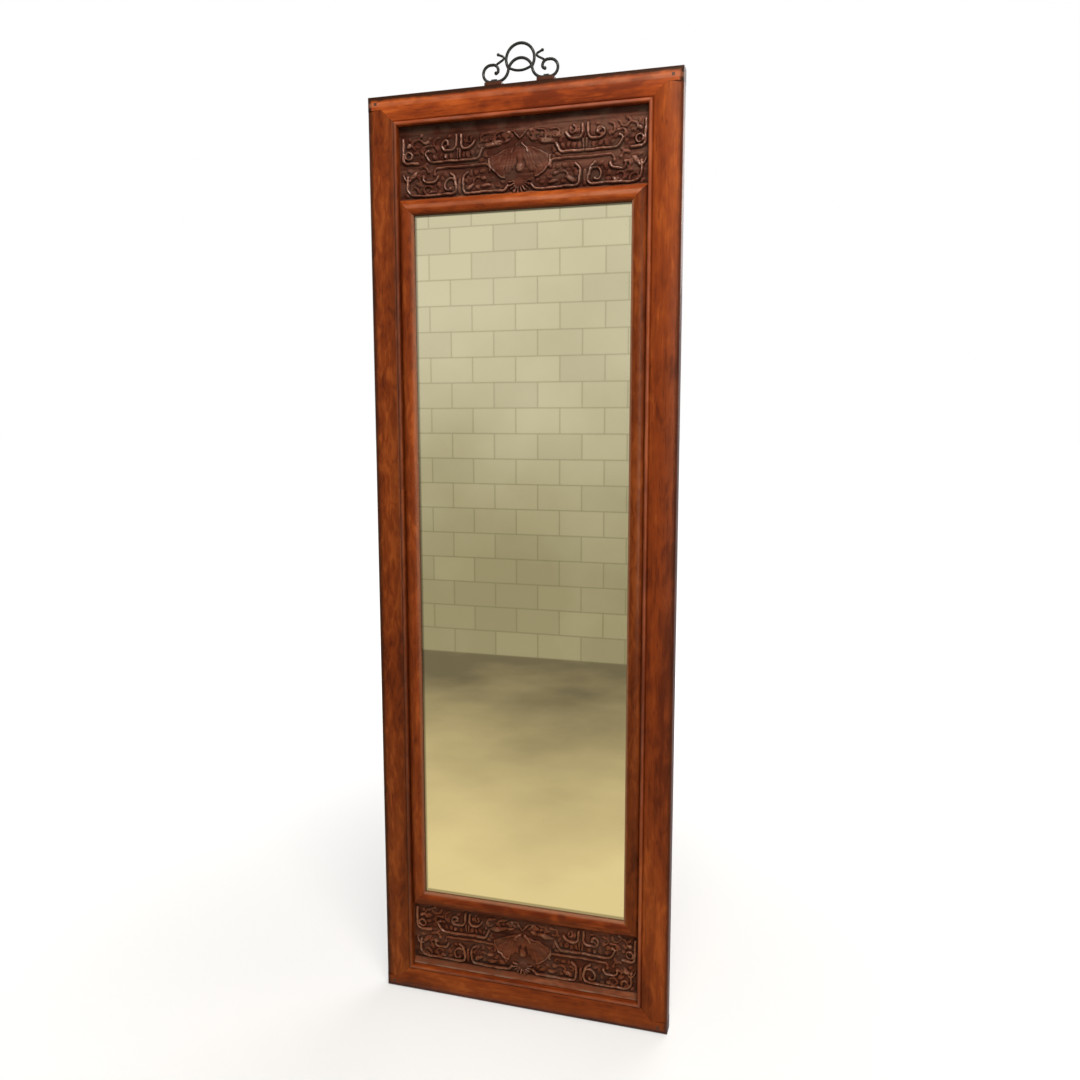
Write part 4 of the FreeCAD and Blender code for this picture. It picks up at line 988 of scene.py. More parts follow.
class ReliefField:
    """Height of a panel's carving over its field, in millimetres above the ground."""

    FULL_TURN = 6.28
    UNEVENNESS = 0.09
    FLANK = 1.0
    POINT_GAP = 0.4
    LOWEST = -0.12
    WING_EDGE_RISE = 0.36
    WING_SWELL = 0.22
    RIB_HALF = 1.3
    RIB_DEPTH = 1.1
    RIM_HALF = 1.9
    RIM_RISE = 0.92
    SLIT_HALF = 0.9
    SLIT_DEPTH = 0.9
    GROOVE_HALF = 1.6
    GROOVE_DEPTH = 2.8
    NOTCH_AREA = ((2.0, -48.0), (212.0, 48.0))
    NOTCH_LENGTH = (3.0, 7.0)
    NOTCH_HALF = (0.7, 1.2)
    NOTCH_DEPTH = (1.0, 2.4)

    def __init__(self, half_width: float, half_height: float, depth: float, pitch: float,
                 seed: int, drop: float) -> None:
        """Lay out the grid.

        Args:
            half_width: Half the field's width.
            half_height: Half the field's height.
            depth: Height of the highest relief.
            pitch: Distance between grid points.
            seed: Seed of the hand-cut unevenness.
            drop: How far the carving stands below the middle of the field.
        """
        columns, rows = round(2 * half_width / pitch) + 1, round(2 * half_height / pitch) + 1
        x, z = np.meshgrid(np.linspace(-half_width, half_width, columns),
                           np.linspace(-half_height, half_height, rows))
        self.x, self.z, self.depth, self.pitch = x, z, depth, pitch
        sway = np.random.default_rng(seed).uniform(0.0, self.FULL_TURN, 8)
        across = np.abs(x + 0.5 * np.sin(z / 9.0 + sway[0]) + 0.4 * np.sin(x / 13.0 + sway[1]))
        self.steady_across = across + np.where(x < 0.0, np.interp(across, *zip(*LEFT_HALF)), 0.0)
        self.steady_up = z + drop + 0.5 * np.sin(x / 11.0 + sway[2]) + 0.35 * np.sin(x / 29.0 + sway[3])
        self.ripple = (np.sin(x / 2.3 + 1.7 * np.sin(z / 4.1)) + np.sin(z / 3.3 + x / 5.2),
                       np.sin(z / 2.1 + 1.5 * np.sin(x / 4.7)) + np.sin(x / 3.7 - z / 6.1))
        self.wander(0.0)
        self.shade, self.foot = np.zeros_like(x), np.zeros_like(x)
        self.height = 0.10 * np.sin(x / 3.1 + sway[4]) * np.sin(z / 3.7 + sway[5])
        self.height += 0.12 * np.sin(x / 17.0 + sway[6]) * np.sin(z / 14.0 + sway[7])

    def wander(self, amount: float) -> None:
        """Let the knife wander off the drawn lines by an amount."""
        self.across = self.steady_across + amount * self.ripple[0]
        self.up = self.steady_up + amount * self.ripple[1]

    def raise_to(self, where: np.ndarray, height: np.ndarray) -> None:
        """Raise masked points to a height where they lie lower."""
        self.height[where] = np.maximum(self.height[where], height)

    def near(self, points: np.ndarray, reach: float) -> np.ndarray:
        """Mask of the grid points in the box round some points, widened by a reach."""
        low, high = points.min(0) - reach, points.max(0) + reach
        return (self.across > low[0]) & (self.across < high[0]) & (self.up > low[1]) & (self.up < high[1])

    def distance(self, where: np.ndarray, points: np.ndarray) -> tuple[np.ndarray, np.ndarray]:
        """Distance of masked grid points to a line of points.

        Args:
            where: Mask of grid points.
            points: Rows of x and z.

        Returns:
            The distances, and the index of the nearest point for each.
        """
        spots = np.column_stack((self.across[where], self.up[where]))
        gaps = ((spots[:, None, :] - points[None, :, :]) ** 2).sum(2)
        nearest = gaps.argmin(1)
        return np.sqrt(gaps[np.arange(len(spots)), nearest]), nearest

    @staticmethod
    def ramp(share: np.ndarray) -> np.ndarray:
        """Smooth step from 0 to 1."""
        share = np.clip(share, 0.0, 1.0)
        return share * share * (3.0 - 2.0 * share)

    def ridge(self, gap: np.ndarray, half: np.ndarray, rise: float) -> np.ndarray:
        """Section of a carved ribbon: steep flanks and a rounded back.

        Args:
            gap: Distance from the middle line.
            half: Half width there.
            rise: Share of the full relief.

        Returns:
            The heights.
        """
        back = 0.55 + 0.45 * np.sqrt(np.clip(1.0 - (gap / np.maximum(half, 0.1)) ** 2, 0.0, 1.0))
        return self.depth * rise * self.ramp((half - gap) / self.FLANK) * back

    def cut_stroke(self, stroke: Stroke) -> None:
        """Raise a ribbon, with its bud if it has one.

        Args:
            stroke: The ribbon's course and sizes.
        """
        path = stroke.path()
        where = self.near(path[:, :2], stroke.width)
        gap, nearest = self.distance(where, path[:, :2])
        half = (stroke.width + (stroke.tip - stroke.width) * path[nearest, 2]) / 2
        uneven = 1.0 - self.UNEVENNESS * np.abs(self.ripple[0][where])
        self.raise_to(where, self.ridge(gap, half, stroke.rise) * uneven)
        if stroke.bud:
            self.cut_dome(tuple(path[-1, :2]), stroke.bud, stroke.bud, 0.0, stroke.rise)

    def cut_dome(self, middle: Point, length: float, width: float, heading: float, rise: float) -> None:
        """Raise an oval dome.

        Args:
            middle: Its middle.
            length: Half its length.
            width: Half its width.
            heading: Way of its length in degrees.
            rise: Share of the full relief.
        """
        where = self.near(np.array([middle]), max(length, width) + 1.0)
        turn = math.radians(heading)
        dx, dz = self.across[where] - middle[0], self.up[where] - middle[1]
        along = (dx * math.cos(turn) + dz * math.sin(turn)) / length
        side = (dz * math.cos(turn) - dx * math.sin(turn)) / width
        inside = np.clip(1.0 - along ** 2 - side ** 2, 0.0, 1.0)
        self.raise_to(where, self.depth * rise * inside ** 0.38)

    def cut_leaf(self, leaf: Leaf) -> None:
        """Raise a leaf and cut its slit.

        Args:
            leaf: The leaf's place and sizes.
        """
        self.cut_dome(leaf.middle, leaf.length / 2, leaf.width / 2, leaf.heading, leaf.rise)
        if leaf.slit:
            turn = math.radians(leaf.heading)
            reach = np.array((math.cos(turn), math.sin(turn))) * leaf.length * 0.36
            self.cut_line(np.array(leaf.middle) - reach, np.array(leaf.middle) + reach,
                          self.SLIT_HALF, self.SLIT_DEPTH)

    def cut_line(self, start: Point | np.ndarray, end: Point | np.ndarray, width: float, deep: float) -> None:
        """Sink a V-shaped line into what is raised.

        Args:
            start: One end.
            end: The other end.
            width: Half its width.
            deep: Its depth.
        """
        count = max(2, round(math.dist(start, end) / self.POINT_GAP))
        line = np.linspace(start, end, count)
        where = self.near(line, width)
        gap, _ = self.distance(where, line)
        self.height[where] -= deep * np.clip(1.0 - gap / width, 0.0, 1.0) * (self.height[where] > 0.6)

    def cut_shape(self, outline: tuple[Point, ...], rise: float, crown: float) -> None:
        """Raise a closed shape whose back swells from its edges.

        Args:
            outline: Corners of the shape.
            rise: Share of the full relief at the edges.
            crown: Share added in the middle.
        """
        corners = np.array(outline, float)
        where = self.near(corners, 1.0)
        px, pz = self.across[where], self.up[where]
        inside = np.zeros(len(px), bool)
        gap = np.full(len(px), np.inf)
        for first, last in zip(corners, np.roll(corners, -1, axis=0)):
            edge = last - first
            share = np.clip(((px - first[0]) * edge[0] + (pz - first[1]) * edge[1]) / (edge @ edge), 0.0, 1.0)
            off = np.hypot(px - first[0] - share * edge[0], pz - first[1] - share * edge[1])
            gap = np.minimum(gap, off)
            crosses = (first[1] > pz) != (last[1] > pz)
            slope = edge[0] / edge[1] if edge[1] else 0.0
            inside ^= crosses & (px < first[0] + (pz - first[1]) * slope)
        swell = 1.0 - np.exp(-gap / 5.0)
        height = self.depth * (rise + crown * swell) * self.ramp(gap / 1.2)
        self.raise_to(where, np.where(inside, height, -self.depth))

    def cut_rim(self, corners: tuple[Point, ...], half: float, rise: float) -> None:
        """Raise a ribbon along straight lines between corners.

        Args:
            corners: The corners.
            half: Half its width.
            rise: Share of the full relief.
        """
        rim = np.concatenate([np.linspace(first, last, 14) for first, last in zip(corners, corners[1:])])
        where = self.near(rim, half + 1.1)
        gap, _ = self.distance(where, rim)
        self.raise_to(where, self.ridge(gap, np.full(len(gap), half), rise))

    def cut_bat(self) -> None:
        """Carve the bat: drooping wings with a raised rim, arms, body, face and a fan of short rays."""
        self.cut_shape(WING, self.WING_EDGE_RISE, self.WING_SWELL)
        for first, last in WING_RIBS:
            self.cut_line(first, last, self.RIB_HALF, self.RIB_DEPTH)
        self.cut_rim(WING_RIM, self.RIM_HALF, self.RIM_RISE)
        for leaf in BAT_LEAVES:
            self.cut_leaf(leaf)
        for arm in BAT_ARMS:
            self.cut_stroke(arm)
        for dome in BAT_BODY:
            self.cut_leaf(dome)
        for line in BAT_FACE:
            self.cut_line(*line)
        self.cut_leaf(FAN)
        for turn in RAY_TURNS:
            way = math.radians(turn)
            root = (FAN.middle[0] + RAY_ROOT[0] * math.cos(way), FAN.middle[1] + RAY_ROOT[1] * math.sin(way))
            self.cut_stroke(Stroke(root, turn, (RAY,), width=3.4, tip=4.6, rise=0.92))

    def cut_grooves(self, head: float, foot: float) -> None:
        """Part the paired stems, and slope the plain strips along the head and foot up from the ground.

        Args:
            head: Where the strip along the head starts, up from the middle.
            foot: Where the strip along the foot starts, down from the middle.
        """
        for start, end in STEM_GROOVES:
            self.cut_line(start, end, self.GROOVE_HALF, self.GROOVE_DEPTH)
        above, below = self.z - head, -foot - self.z
        for rise, steep in ((above, 1.7), (below, 3.0)):
            strip = np.clip(rise / 1.2, 0.0, 1.0) + np.clip(rise / 15.0, 0.0, 1.0) * steep
            self.height = np.maximum(self.height, strip)
        self.shade = 0.30 * np.clip(above / 8.0, 0.0, 1.0)
        self.foot = 0.5 * np.clip(below / 1.5, 0.0, 1.0) + 0.5 * np.clip(below / below.max(), 0.0, 1.0)

    def cut_notches(self, count: int, seed: int) -> None:
        """Break the small work up with short knife cuts.

        Args:
            count: How many cuts.
            seed: Seed of their places.
        """
        random = np.random.default_rng(seed)
        for _ in range(count):
            start = random.uniform(*self.NOTCH_AREA)
            turn, length = random.uniform(0.0, math.pi), random.uniform(*self.NOTCH_LENGTH)
            end = start + length * np.array((math.cos(turn), math.sin(turn)))
            self.cut_line(start, end, random.uniform(*self.NOTCH_HALF), random.uniform(*self.NOTCH_DEPTH))

    def settle(self) -> tuple[np.ndarray, np.ndarray]:
        """Soften the cut surface, and find how raised and how hollow each point is.

        Returns:
            Raised share and hollow share, each from 0 to 1.
        """
        self.height = np.clip(self.blurred(self.height, 1), self.LOWEST, self.depth)
        around = self.blurred(self.height, max(1, round(1.6 / self.pitch)))
        hollow = np.clip((around - self.height) / (0.32 * self.depth), 0.0, 1.0)
        return np.clip(self.height / self.depth, 0.0, 1.0), np.maximum(hollow, self.shade)

    @staticmethod
    def blurred(values: np.ndarray, reach: int) -> np.ndarray:
        """Average a grid over a square round each point.

        Args:
            values: The grid.
            reach: How many points the square reaches to each side.

        Returns:
            The averages.
        """
        result = values
        for axis in (0, 1):
            padded = np.concatenate((np.repeat(result.take([0], axis), reach + 1, axis), result,
                                     np.repeat(result.take([-1], axis), reach, axis)), axis)
            total = padded.cumsum(axis)
            span = np.arange(result.shape[axis])
            result = (total.take(span + 2 * reach + 1, axis) - total.take(span, axis)) / (2 * reach + 1)
        return result


@dataclass(frozen=True)
class CarvedPanel:
    """Relief panel, with its tongues, in place of its plain solid. Sizes in millimetres."""

    node: str
    rail: RailSide
    finish: CarvedTimber
    seed: int
    drop: float
    head_strip: float
    foot_strip: float
    half_width: float = 214.6
    half_height: float = 60.6
    ground: float = -1.0
    relief: float = 5.0
    pitch: float = 0.75
    tongue_front: float = -0.8
    tongue_back: float = 4.8
    frame_tongue_half: float = 222.0
    member_tongue_half: float = 205.8
    opening: float = 122.0
    tongue: float = 7.0
    fit: float = 0.2
    notches: int = 230
    late_notches: int = 76
    wander: float = 0.55
    stroke_wander: float = 0.22

    @property
    def middle(self) -> float:
        """Height of the field's middle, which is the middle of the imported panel."""
        low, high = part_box(self.node)
        return (low.z + high.z) / 2 / MILLIMETRE

    def build(self) -> bpy.types.Object:
        """Carve the panel, make its mesh, dress it and set it in place of the solid.

        Returns:
            The panel's object.
        """
        field = self.carved()
        raised, hollow = field.settle()
        points, faces, smooth_count = self.front(field)
        for low, high in self.tongues():
            self.add_box(points, faces, low, high)
        mesh = bpy.data.meshes.new(f"{self.node}_relief")
        mesh.from_pydata([tuple(value * MILLIMETRE for value in point) for point in points], [], faces)
        mesh.polygons.foreach_set("use_smooth", np.arange(len(faces)) < smooth_count)
        for name, data in (("relief", raised), ("hollow", hollow), ("foot", field.foot)):
            full = np.full(len(points), -1.0, np.float32)
            full[:data.size] = data.ravel()
            mesh.attributes.new(name, "FLOAT", "POINT").data.foreach_set("value", full)
        mesh.update()
        panel = bpy.data.objects.new(f"{self.node}_carving", mesh)
        bpy.context.scene.collection.objects.link(panel)
        mesh.materials.append(self.finish.material())
        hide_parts(self.node)
        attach(panel, "frame")
        LOG.info("%s: %d points", panel.name, len(points))
        return panel

    def carved(self) -> ReliefField:
        """Cut the small work, the bat, the main strokes and the strips, in that order.

        Returns:
            The cut relief.
        """
        field = ReliefField(self.half_width, self.half_height, self.relief, self.pitch, self.seed, self.drop)
        field.wander(self.wander)
        for item in FILLING:
            if isinstance(item, Stroke):
                field.cut_stroke(item)
            else:
                field.cut_leaf(item)
        field.cut_notches(self.notches, self.seed)
        field.cut_bat()
        field.cut_notches(self.late_notches, self.seed + 1)
        field.wander(self.stroke_wander)
        for stroke in STROKES:
            field.cut_stroke(stroke)
        field.cut_grooves(self.head_strip, self.foot_strip)
        return field

    def front(self, field: ReliefField) -> tuple[list[tuple], list[tuple], int]:
        """Carved front and the four sides of the field, closed behind.

        Args:
            field: The cut relief.

        Returns:
            Points, faces and how many of the first faces are smooth.
        """
        rows, columns = field.height.shape
        grid = np.stack((field.x, self.ground - field.height, self.middle + field.z), -1).reshape(-1, 3)
        points = [tuple(row) for row in grid.tolist()]
        index = np.arange(rows * columns).reshape(rows, columns)
        quads = np.stack((index[:-1, :-1], index[:-1, 1:], index[1:, 1:], index[1:, :-1]), -1).reshape(-1, 4)
        faces = [tuple(row) for row in quads.tolist()]
        count = len(faces)
        back = [len(points) + step for step in range(4)]
        for x, z in ((-1, -1), (1, -1), (1, 1), (-1, 1)):
            points.append((x * self.half_width, self.tongue_front, self.middle + z * self.half_height))
        sides = (index[0], index[:, -1], index[-1, ::-1], index[::-1, 0])
        for step, side in enumerate(sides):
            faces.append((*side[::-1].tolist(), back[step], back[(step + 1) % 4]))
        faces.append(tuple(reversed(back)))
        return points, faces, count

    def tongues(self) -> list[tuple[Place, Place]]:
        """Low and high corners of the plates that stand in the grooves of the outer and inner frame.

        Returns:
            A low and a high corner for each plate.
        """
        side = self.rail.value
        rail = self.middle + side * (self.opening / 2 + self.tongue)
        near = self.middle - side * (self.opening / 2 - self.fit)
        far = self.middle - side * (self.opening / 2 + self.tongue)
        plates = ((self.frame_tongue_half, (rail, near)), (self.member_tongue_half, (near, far)))
        return [((-half, self.tongue_front, min(ends)), (half, self.tongue_back, max(ends)))
                for half, ends in plates]

    @staticmethod
    def add_box(points: list[tuple], faces: list[tuple], low: Place, high: Place) -> None:
        """Add a closed box to lists of points and faces.

        Args:
            points: Points to extend.
            faces: Faces to extend.
            low: Low corner.
            high: High corner.
        """
        base = len(points)
        across, deep, tall = zip(low, high)
        points.extend((x, y, z) for z in tall for y in deep for x in across)
        for face in ((0, 2, 3, 1), (4, 5, 7, 6), (0, 1, 5, 4), (2, 6, 7, 3), (0, 4, 6, 2), (1, 3, 7, 5)):
            faces.append(tuple(base + corner for corner in face))


def dress(node: str, material: Material) -> None:
    """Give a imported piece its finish.

    Args:
        node: Name of the piece.
        material: Its finish.
    """
    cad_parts[node].material_slots[0].material = material
    LOG.info("%s: %s", node, material.name)


@dataclass(frozen=True)
class OuterFrame:
    """Stiles, rails and corner pegs, each member cut from its own length of timber."""

    # Member tones partly paint the light: lighter on the top rail, darker on the left stile, whose shaded
    # band is painted shade.
    left_stile: PolishedTimber = PolishedTimber(
        "Left stile timber", GrainRun.UPRIGHT, Joint.OUTER, tone=0.88, figure=1.1, streaks=0.28,
        shift=(0.31, 0.0, 0.2), rub_and_highlight=0.34, shaded=0.42)
    right_stile: PolishedTimber = PolishedTimber(
        "Right stile timber", GrainRun.UPRIGHT, Joint.OUTER, figure=0.35, shift=(0.87, 0.1, 1.4),
        stained=0.60, rub_and_highlight=0.26)
    # Its crest line is a painted highlight.
    top_rail: PolishedTimber = PolishedTimber(
        "Top rail timber", GrainRun.LEVEL, Joint.OUTER, tone=1.40, figure=0.5, shift=(0.2, 0.3, 0.9),
        stained=0.97, crest=CrestHighlight(up=0.7880, width=0.0130, amount=0.34))
    bottom_rail: PolishedTimber = PolishedTimber(
        "Bottom rail timber", GrainRun.LEVEL, Joint.OUTER, tone=1.08, figure=0.6, shift=(1.7, 0.4, 0.3))
    peg: BareTimber = BareTimber(
        "Peg end grain", GrainRun.UPRIGHT, dark=(0.020, 0.007, 0.003), middle=(0.055, 0.016, 0.007),
        light=(0.095, 0.030, 0.012))

    def build(self) -> None:
        """Dress the four members and the pegs."""
        for node, timber in (("left_stile", self.left_stile), ("right_stile", self.right_stile),
                             ("top_rail", self.top_rail), ("bottom_rail", self.bottom_rail)):
            dress(node, timber.material())
        peg = self.peg.material()
        for corner in ("top_left", "top_right", "bottom_left", "bottom_right"):
            dress(f"{corner}_peg", peg)


@dataclass(frozen=True)
class InnerFrame:
    """Half-round moulding round the glass, with its hidden splines and packing blocks."""

    # Member tones partly paint the light: lighter on the bottom moulding, darker on the right one; the sight
    # edges carry painted highlights.
    left_stile: PolishedTimber = PolishedTimber(
        "Left moulding timber", GrainRun.UPRIGHT, Joint.INNER, tone=1.02, figure=0.8, shift=(2.1, 0.0, 0.7),
        sight=(0.175, 0.072, 0.038))
    right_stile: PolishedTimber = PolishedTimber(
        "Right moulding timber", GrainRun.UPRIGHT, Joint.INNER, tone=0.66, figure=0.8, shift=(2.6, 0.2, 0.1))
    # Its crest line is a painted highlight, its sight edge painted shade and reflection.
    top_rail: PolishedTimber = PolishedTimber(
        "Top moulding timber", GrainRun.LEVEL, Joint.INNER, tone=1.08, figure=0.7, shift=(0.6, 0.5, 2.2),
        crest=CrestHighlight(up=0.6205, width=0.0110, amount=0.50), sight=(0.012, 0.004, 0.002))
    bottom_rail: PolishedTimber = PolishedTimber(
        "Bottom moulding timber", GrainRun.LEVEL, Joint.INNER, tone=1.25, figure=0.6, shift=(1.1, 0.6, 2.9))
    slip: BareTimber = BareTimber(
        "Spline timber", GrainRun.LEVEL, dark=(0.16, 0.09, 0.045), middle=(0.30, 0.19, 0.10),
        light=(0.42, 0.29, 0.17))

    def build(self) -> None:
        """Dress the four members, the splines and the packing blocks."""
        for node, timber in (("left_stile", self.left_stile), ("right_stile", self.right_stile),
                             ("top_rail", self.top_rail), ("bottom_rail", self.bottom_rail)):
            dress(f"mirror_frame_{node}", timber.material())
        slip = self.slip.material()
        for node in ("mitre_splines", "glass_packing_blocks"):
            dress(node, slip)


@dataclass(frozen=True)
class GlassAndBack:
    """Mirror plate with the boards, battens and screws behind it."""

    glass: SilveredGlass = SilveredGlass("Silvered glass")
    dark: Colour = (0.105, 0.052, 0.024)
    middle: Colour = (0.200, 0.115, 0.058)
    light: Colour = (0.310, 0.195, 0.110)
    boards: int = 3
    battens: tuple[str, ...] = ("lower", "middle", "upper")
    screws: ForgedIron = ForgedIron(
        "Old screw steel", base=(0.10, 0.09, 0.08), rub_and_highlight=(0.28, 0.26, 0.24), rust=(0.090, 0.040, 0.020),
        rust_amount=0.6, metallic=0.85)

    def timber(self, name: str, run: GrainRun, shift: Place) -> Material:
        """Material of one board or batten.

        Args:
            name: Name of the piece.
            run: Way of its grain.
            shift: Move of its grain.

        Returns:
            The material.
        """
        return BareTimber(f"{name} timber", run, self.dark, self.middle, self.light, shift).material()

    def build(self) -> None:
        """Dress the glass and everything behind it."""
        dress("mirror_glass", self.glass.material())
        for number in range(1, self.boards + 1):
            shift = (0.7 * number, 0.2, 0.4 * number)
            dress(f"back_board_{number}", self.timber(f"Back board {number}", GrainRun.UPRIGHT, shift))
        for number, name in enumerate(self.battens):
            shift = (0.5, 0.3, 0.9 * number)
            dress(f"{name}_batten", self.timber(f"{name.title()} batten", GrainRun.LEVEL, shift))
        dress("batten_screws", self.screws.material())


@dataclass(frozen=True)
class ScrollHanger:
    """Iron scrolls, arch, straps, feet and screws on the top rail."""

    iron: ForgedIron = ForgedIron("Blackened iron")
    foot: ForgedIron = ForgedIron(
        "Brown foot iron", base=(0.046, 0.0135, 0.0065), rub_and_highlight=(0.080, 0.027, 0.013),
        rust=(0.062, 0.021, 0.0095), rust_amount=0.6, metallic=0.0, gloss=0.12)
    screw: ForgedIron = ForgedIron(
        "Dark screw iron", base=(0.030, 0.026, 0.024), rub_and_highlight=(0.110, 0.100, 0.092),
        rust=(0.070, 0.030, 0.014), rust_amount=0.5, metallic=0.7)

    def build(self) -> None:
        """Dress the iron, one material for each finish."""
        rods = ("scroll_rod", "top_arch", "lower_bow", "left_curl", "right_curl", "left_strap", "right_strap")
        for finish, parts in ((self.iron, rods), (self.foot, ("left_foot", "right_foot")),
                              (self.screw, ("strap_screws",))):
            material = finish.material()
            for part in parts:
                dress(f"hanger_{part}", material)


class Shading(Enum):
    """Axis along which a card is shaded."""

    DEPTH = 1
    HEIGHT = 2


@dataclass(frozen=True)
class CardPaint:
    """Glowing paint of a card, shaded from one tone to another: a calm room for the glass to show."""

    name: str
    low: Colour
    high: Colour
    axis: Shading
    span: Point
    blocks: bool = False
    block_width: float = 0.20
    block_height: float = 0.112
    seam: float = 0.0035
    seam_tone: Colour = (0.66, 0.65, 0.62)
    block_tones: tuple[Colour, Colour] = ((0.90, 0.90, 0.90), (1.0, 1.0, 1.0))

    def material(self) -> Material:
        """Build the material: mottled paint, over blockwork where the card has blocks.

        Returns:
            The material.
        """
        material, tree, _ = new_material(self.name)
        where = tree.place()
        mottle = tree.swing(tree.noise(where, 1.6, 5.0), 0.9)
        shaded = tree.band(tree.apart(where)[self.axis.value], *self.span)
        colour = tree.mix(tree.math("ADD", shaded, mottle, clamp=True), self.low, self.high)
        if self.blocks:
            colour = tree.mix(1.0, colour, self.blockwork(tree, where), "MULTIPLY")
        glow = tree.node("Emission")
        tree.feed(glow.inputs["Color"], colour)
        tree.feed(material.node_tree.nodes["Material Output"].inputs["Surface"], glow.outputs[0])
        return material

    def blockwork(self, tree: ShaderTree, where: Socket) -> Socket:
        """Tones of the blocks and the seams between them.

        Args:
            tree: Tree of the material.
            where: Coordinates of the card.

        Returns:
            The colour's socket.
        """
        x, _, z = tree.apart(where)
        face = tree.node("CombineXYZ")
        tree.feed(face.inputs[0], x)
        tree.feed(face.inputs[1], z)
        wall = tree.node("TexBrick")
        for label, value in (("Vector", face.outputs[0]), ("Scale", 1.0),
                             ("Color1", self.block_tones[0]), ("Color2", self.block_tones[1]),
                             ("Mortar", self.seam_tone), ("Mortar Size", self.seam), ("Mortar Smooth", 0.6),
                             ("Brick Width", self.block_width), ("Row Height", self.block_height)):
            tree.feed(wall.inputs[label], value)
        return wall.outputs["Color"]


@dataclass(frozen=True)
class SoftLamp:
    """Square soft lamp: place, aim and size in metres, power in watts."""

    name: str
    place: Place
    aim: Place
    size: float
    power: float
    tint: Colour

    def build(self) -> None:
        """Hang the lamp and point it at its aim."""
        data = bpy.data.lights.new(self.name, "AREA")
        data.color = self.tint
        data.shape, data.size, data.energy = "SQUARE", self.size, self.power
        lamp = bpy.data.objects.new(self.name, data)
        bpy.context.scene.collection.objects.link(lamp)
        lamp.location = self.place
        lamp.rotation_euler = (Vector(self.aim) - Vector(self.place)).to_track_quat("-Z", "Y").to_euler()


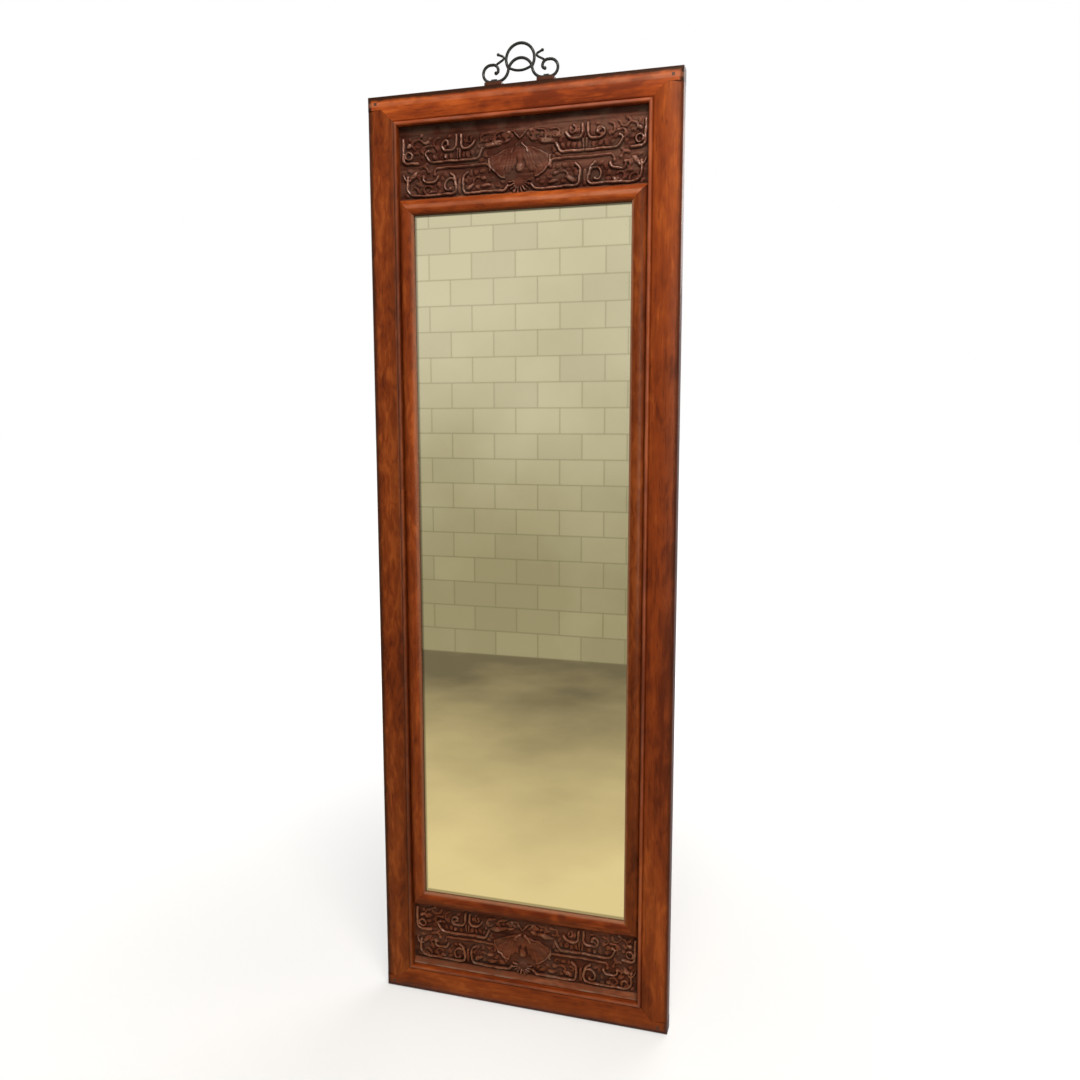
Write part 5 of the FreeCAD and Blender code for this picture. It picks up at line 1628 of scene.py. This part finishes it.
@dataclass(frozen=True)
class Studio:
    """Plain white studio: floor, reflecting cards, soft lamps and the camera. Sizes in metres."""

    eye: Place = (0.4917, -1.5480, 1.0805)
    forward: Place = (-0.28146, 0.95086, -0.12904)
    upward: Place = (-0.03583, 0.12397, 0.99164)
    lens: float = 31.477
    sensor: float = 36.0
    clip: Point = (0.01, 100.0)
    air: Colour = (1.0, 0.97, 0.93)
    air_strength: float = 0.24
    floor_height: float = -0.001
    floor_half: float = 40.0
    floor_tone: Colour = (0.42, 0.42, 0.42)
    floor_glow: tuple[float, float, float, float] = (0.3, 2.2, 0.52, 0.98)
    card_half: float = 9.0
    card_height: float = 5.0
    card_lift: float = 0.0005
    wall_at: float = -2.45
    ground_to: float = -0.02
    ceiling_to: float = 2.0
    wall: CardPaint = CardPaint(
        "Wall card", (0.40, 0.35, 0.195), (0.75, 0.69, 0.48), Shading.HEIGHT, (0.2, 1.7), blocks=True)
    ground: CardPaint = CardPaint(
        "Floor card", (0.19, 0.155, 0.085), (0.86, 0.69, 0.34), Shading.DEPTH, (-2.45, -0.15))
    ceiling: CardPaint = CardPaint(
        "Ceiling card", (0.16, 0.15, 0.13), (0.10, 0.095, 0.08), Shading.DEPTH, (-2.45, 2.0))
    lamps: tuple[SoftLamp, ...] = (
        SoftLamp("Key", (0.6, -1.25, 2.65), (0.0, 0.0, 0.9), 1.0, 54.0, (1.0, 0.93, 0.84)),
        SoftLamp("Fill", (1.2, -2.3, 0.9), (0.0, 0.0, 0.4), 1.6, 29.0, (1.0, 0.95, 0.88)),
        SoftLamp("Rear", (0.8, 2.4, 2.6), (0.0, 0.0, 0.9), 2.2, 60.0, (1.0, 0.97, 0.93)),
    )

    def build(self) -> None:
        """Make the whole studio."""
        self.camera()
        self.world()
        self.floor()
        self.cards()
        for lamp in self.lamps:
            lamp.build()
        bpy.context.scene.view_settings.view_transform = "Standard"
        LOG.info("studio ready")

    def camera(self) -> None:
        """Place the camera where the picture was taken from."""
        data = bpy.data.cameras.new("Camera")
        data.sensor_width, data.lens = self.sensor, self.lens
        data.clip_start, data.clip_end = self.clip
        camera = bpy.data.objects.new("Camera", data)
        bpy.context.scene.collection.objects.link(camera)
        back = -Vector(self.forward).normalized()
        right = Vector(self.upward).cross(back).normalized()
        axes = Matrix((right, back.cross(right), back)).transposed()
        camera.matrix_world = Matrix.Translation(self.eye) @ axes.to_4x4()
        bpy.context.scene.camera = camera

    def world(self) -> None:
        """White behind the object for the eye, glass and metal, and a softer even light for all else."""
        world = bpy.data.worlds.new("Studio world")
        bpy.context.scene.world = world
        world.use_nodes = True
        tree = ShaderTree(world.node_tree)
        soft, white = world.node_tree.nodes["Background"], tree.node("Background")
        set_plain(soft, {"Color": (*self.air, 1.0), "Strength": self.air_strength})
        set_plain(white, {"Color": (1.0, 1.0, 1.0, 1.0), "Strength": 1.0})
        rays = tree.node("LightPath").outputs
        mirrored = tree.math("MAXIMUM", rays["Is Glossy Ray"], rays["Is Transmission Ray"])
        seen = tree.math("MAXIMUM", rays["Is Camera Ray"], mirrored)
        choice = tree.node("MixShader")
        for socket, value in zip(choice.inputs, (seen, soft.outputs[0], white.outputs[0])):
            tree.feed(socket, value)
        tree.feed(world.node_tree.nodes["World Output"].inputs["Surface"], choice.outputs[0])

    @staticmethod
    def plane(name: str, half: float, start: Point, end: Point, material: Material) -> bpy.types.Object:
        """Make a flat piece of the studio.

        Args:
            name: Its name.
            half: Half its width along X.
            start: Y and Z of one long edge.
            end: Y and Z of the other one.
            material: Its material.

        Returns:
            The object.
        """
        mesh = bpy.data.meshes.new(name)
        corners = [(-half, *start), (half, *start), (half, *end), (-half, *end)]
        mesh.from_pydata(corners, [], [(0, 1, 2, 3)])
        mesh.materials.append(material)
        card = bpy.data.objects.new(name, mesh)
        bpy.context.scene.collection.objects.link(card)
        return card

    def floor(self) -> None:
        """Pale floor that reads white and keeps the soft shadow of the mirror."""
        material, tree, shader = new_material("Pale floor")
        set_plain(shader, {"Base Color": (*self.floor_tone, 1.0), "Roughness": 1.0,
                           "Specular IOR Level": 0.0})
        distance = tree.node("VectorMath", operation="LENGTH")
        tree.feed(distance.inputs[0], tree.node("TexCoord").outputs["Object"])
        spread = tree.band(distance.outputs["Value"], *self.floor_glow)
        glow, both = tree.node("Emission"), tree.node("AddShader")
        watched = tree.node("LightPath").outputs["Is Camera Ray"]
        tree.feed(glow.inputs["Strength"], tree.product(watched, spread))
        tree.feed(both.inputs[0], shader.outputs[0])
        tree.feed(both.inputs[1], glow.outputs[0])
        tree.feed(material.node_tree.nodes["Material Output"].inputs["Surface"], both.outputs[0])
        half, low = self.floor_half, self.floor_height
        floor = self.plane("Floor", half, (-half, low), (half, low), material)
        floor.visible_glossy = False

    def cards(self) -> None:
        """Wall, floor and ceiling cards that only the glass and other glossy surfaces see."""
        low, lift, tall = self.floor_height, self.floor_height + self.card_lift, self.card_height
        for paint, start, end in (
            (self.wall, (self.wall_at, low), (self.wall_at, tall)),
            (self.ground, (self.wall_at, lift), (self.ground_to, lift)),
            (self.ceiling, (self.wall_at, tall), (self.ceiling_to, tall)),
        ):
            card = self.plane(paint.name, self.card_half, start, end, paint.material())
            card.visible_camera = False
            card.visible_diffuse = False
            card.visible_shadow = False
            card.visible_transmission = False


def main() -> None:
    """Build every sub-assembly in order, then the studio."""
    logging.basicConfig(level=logging.INFO, format="%(name)s %(message)s")
    OuterFrame().build()
    InnerFrame().build()
    GlassAndBack().build()
    upper = CarvedTimber("Upper carving timber")
    CarvedPanel("upper_carved_panel", RailSide.ABOVE, upper, seed=11, drop=6.6,
                head_strip=45.0, foot_strip=57.5).build()
    lower = CarvedTimber("Lower carving timber", shift=(0.4, 0.3, 1.1), flank=(0.122, 0.0330, 0.0140),
                         crest=(0.235, 0.0850, 0.0450), strip=(0.400, 0.1250, 0.0550))
    CarvedPanel("lower_carved_panel", RailSide.BELOW, lower, seed=23, drop=-4.8,
                head_strip=57.0, foot_strip=47.5).build()
    ScrollHanger().build()
    Studio().build()


if __name__ == "__main__":
    main()
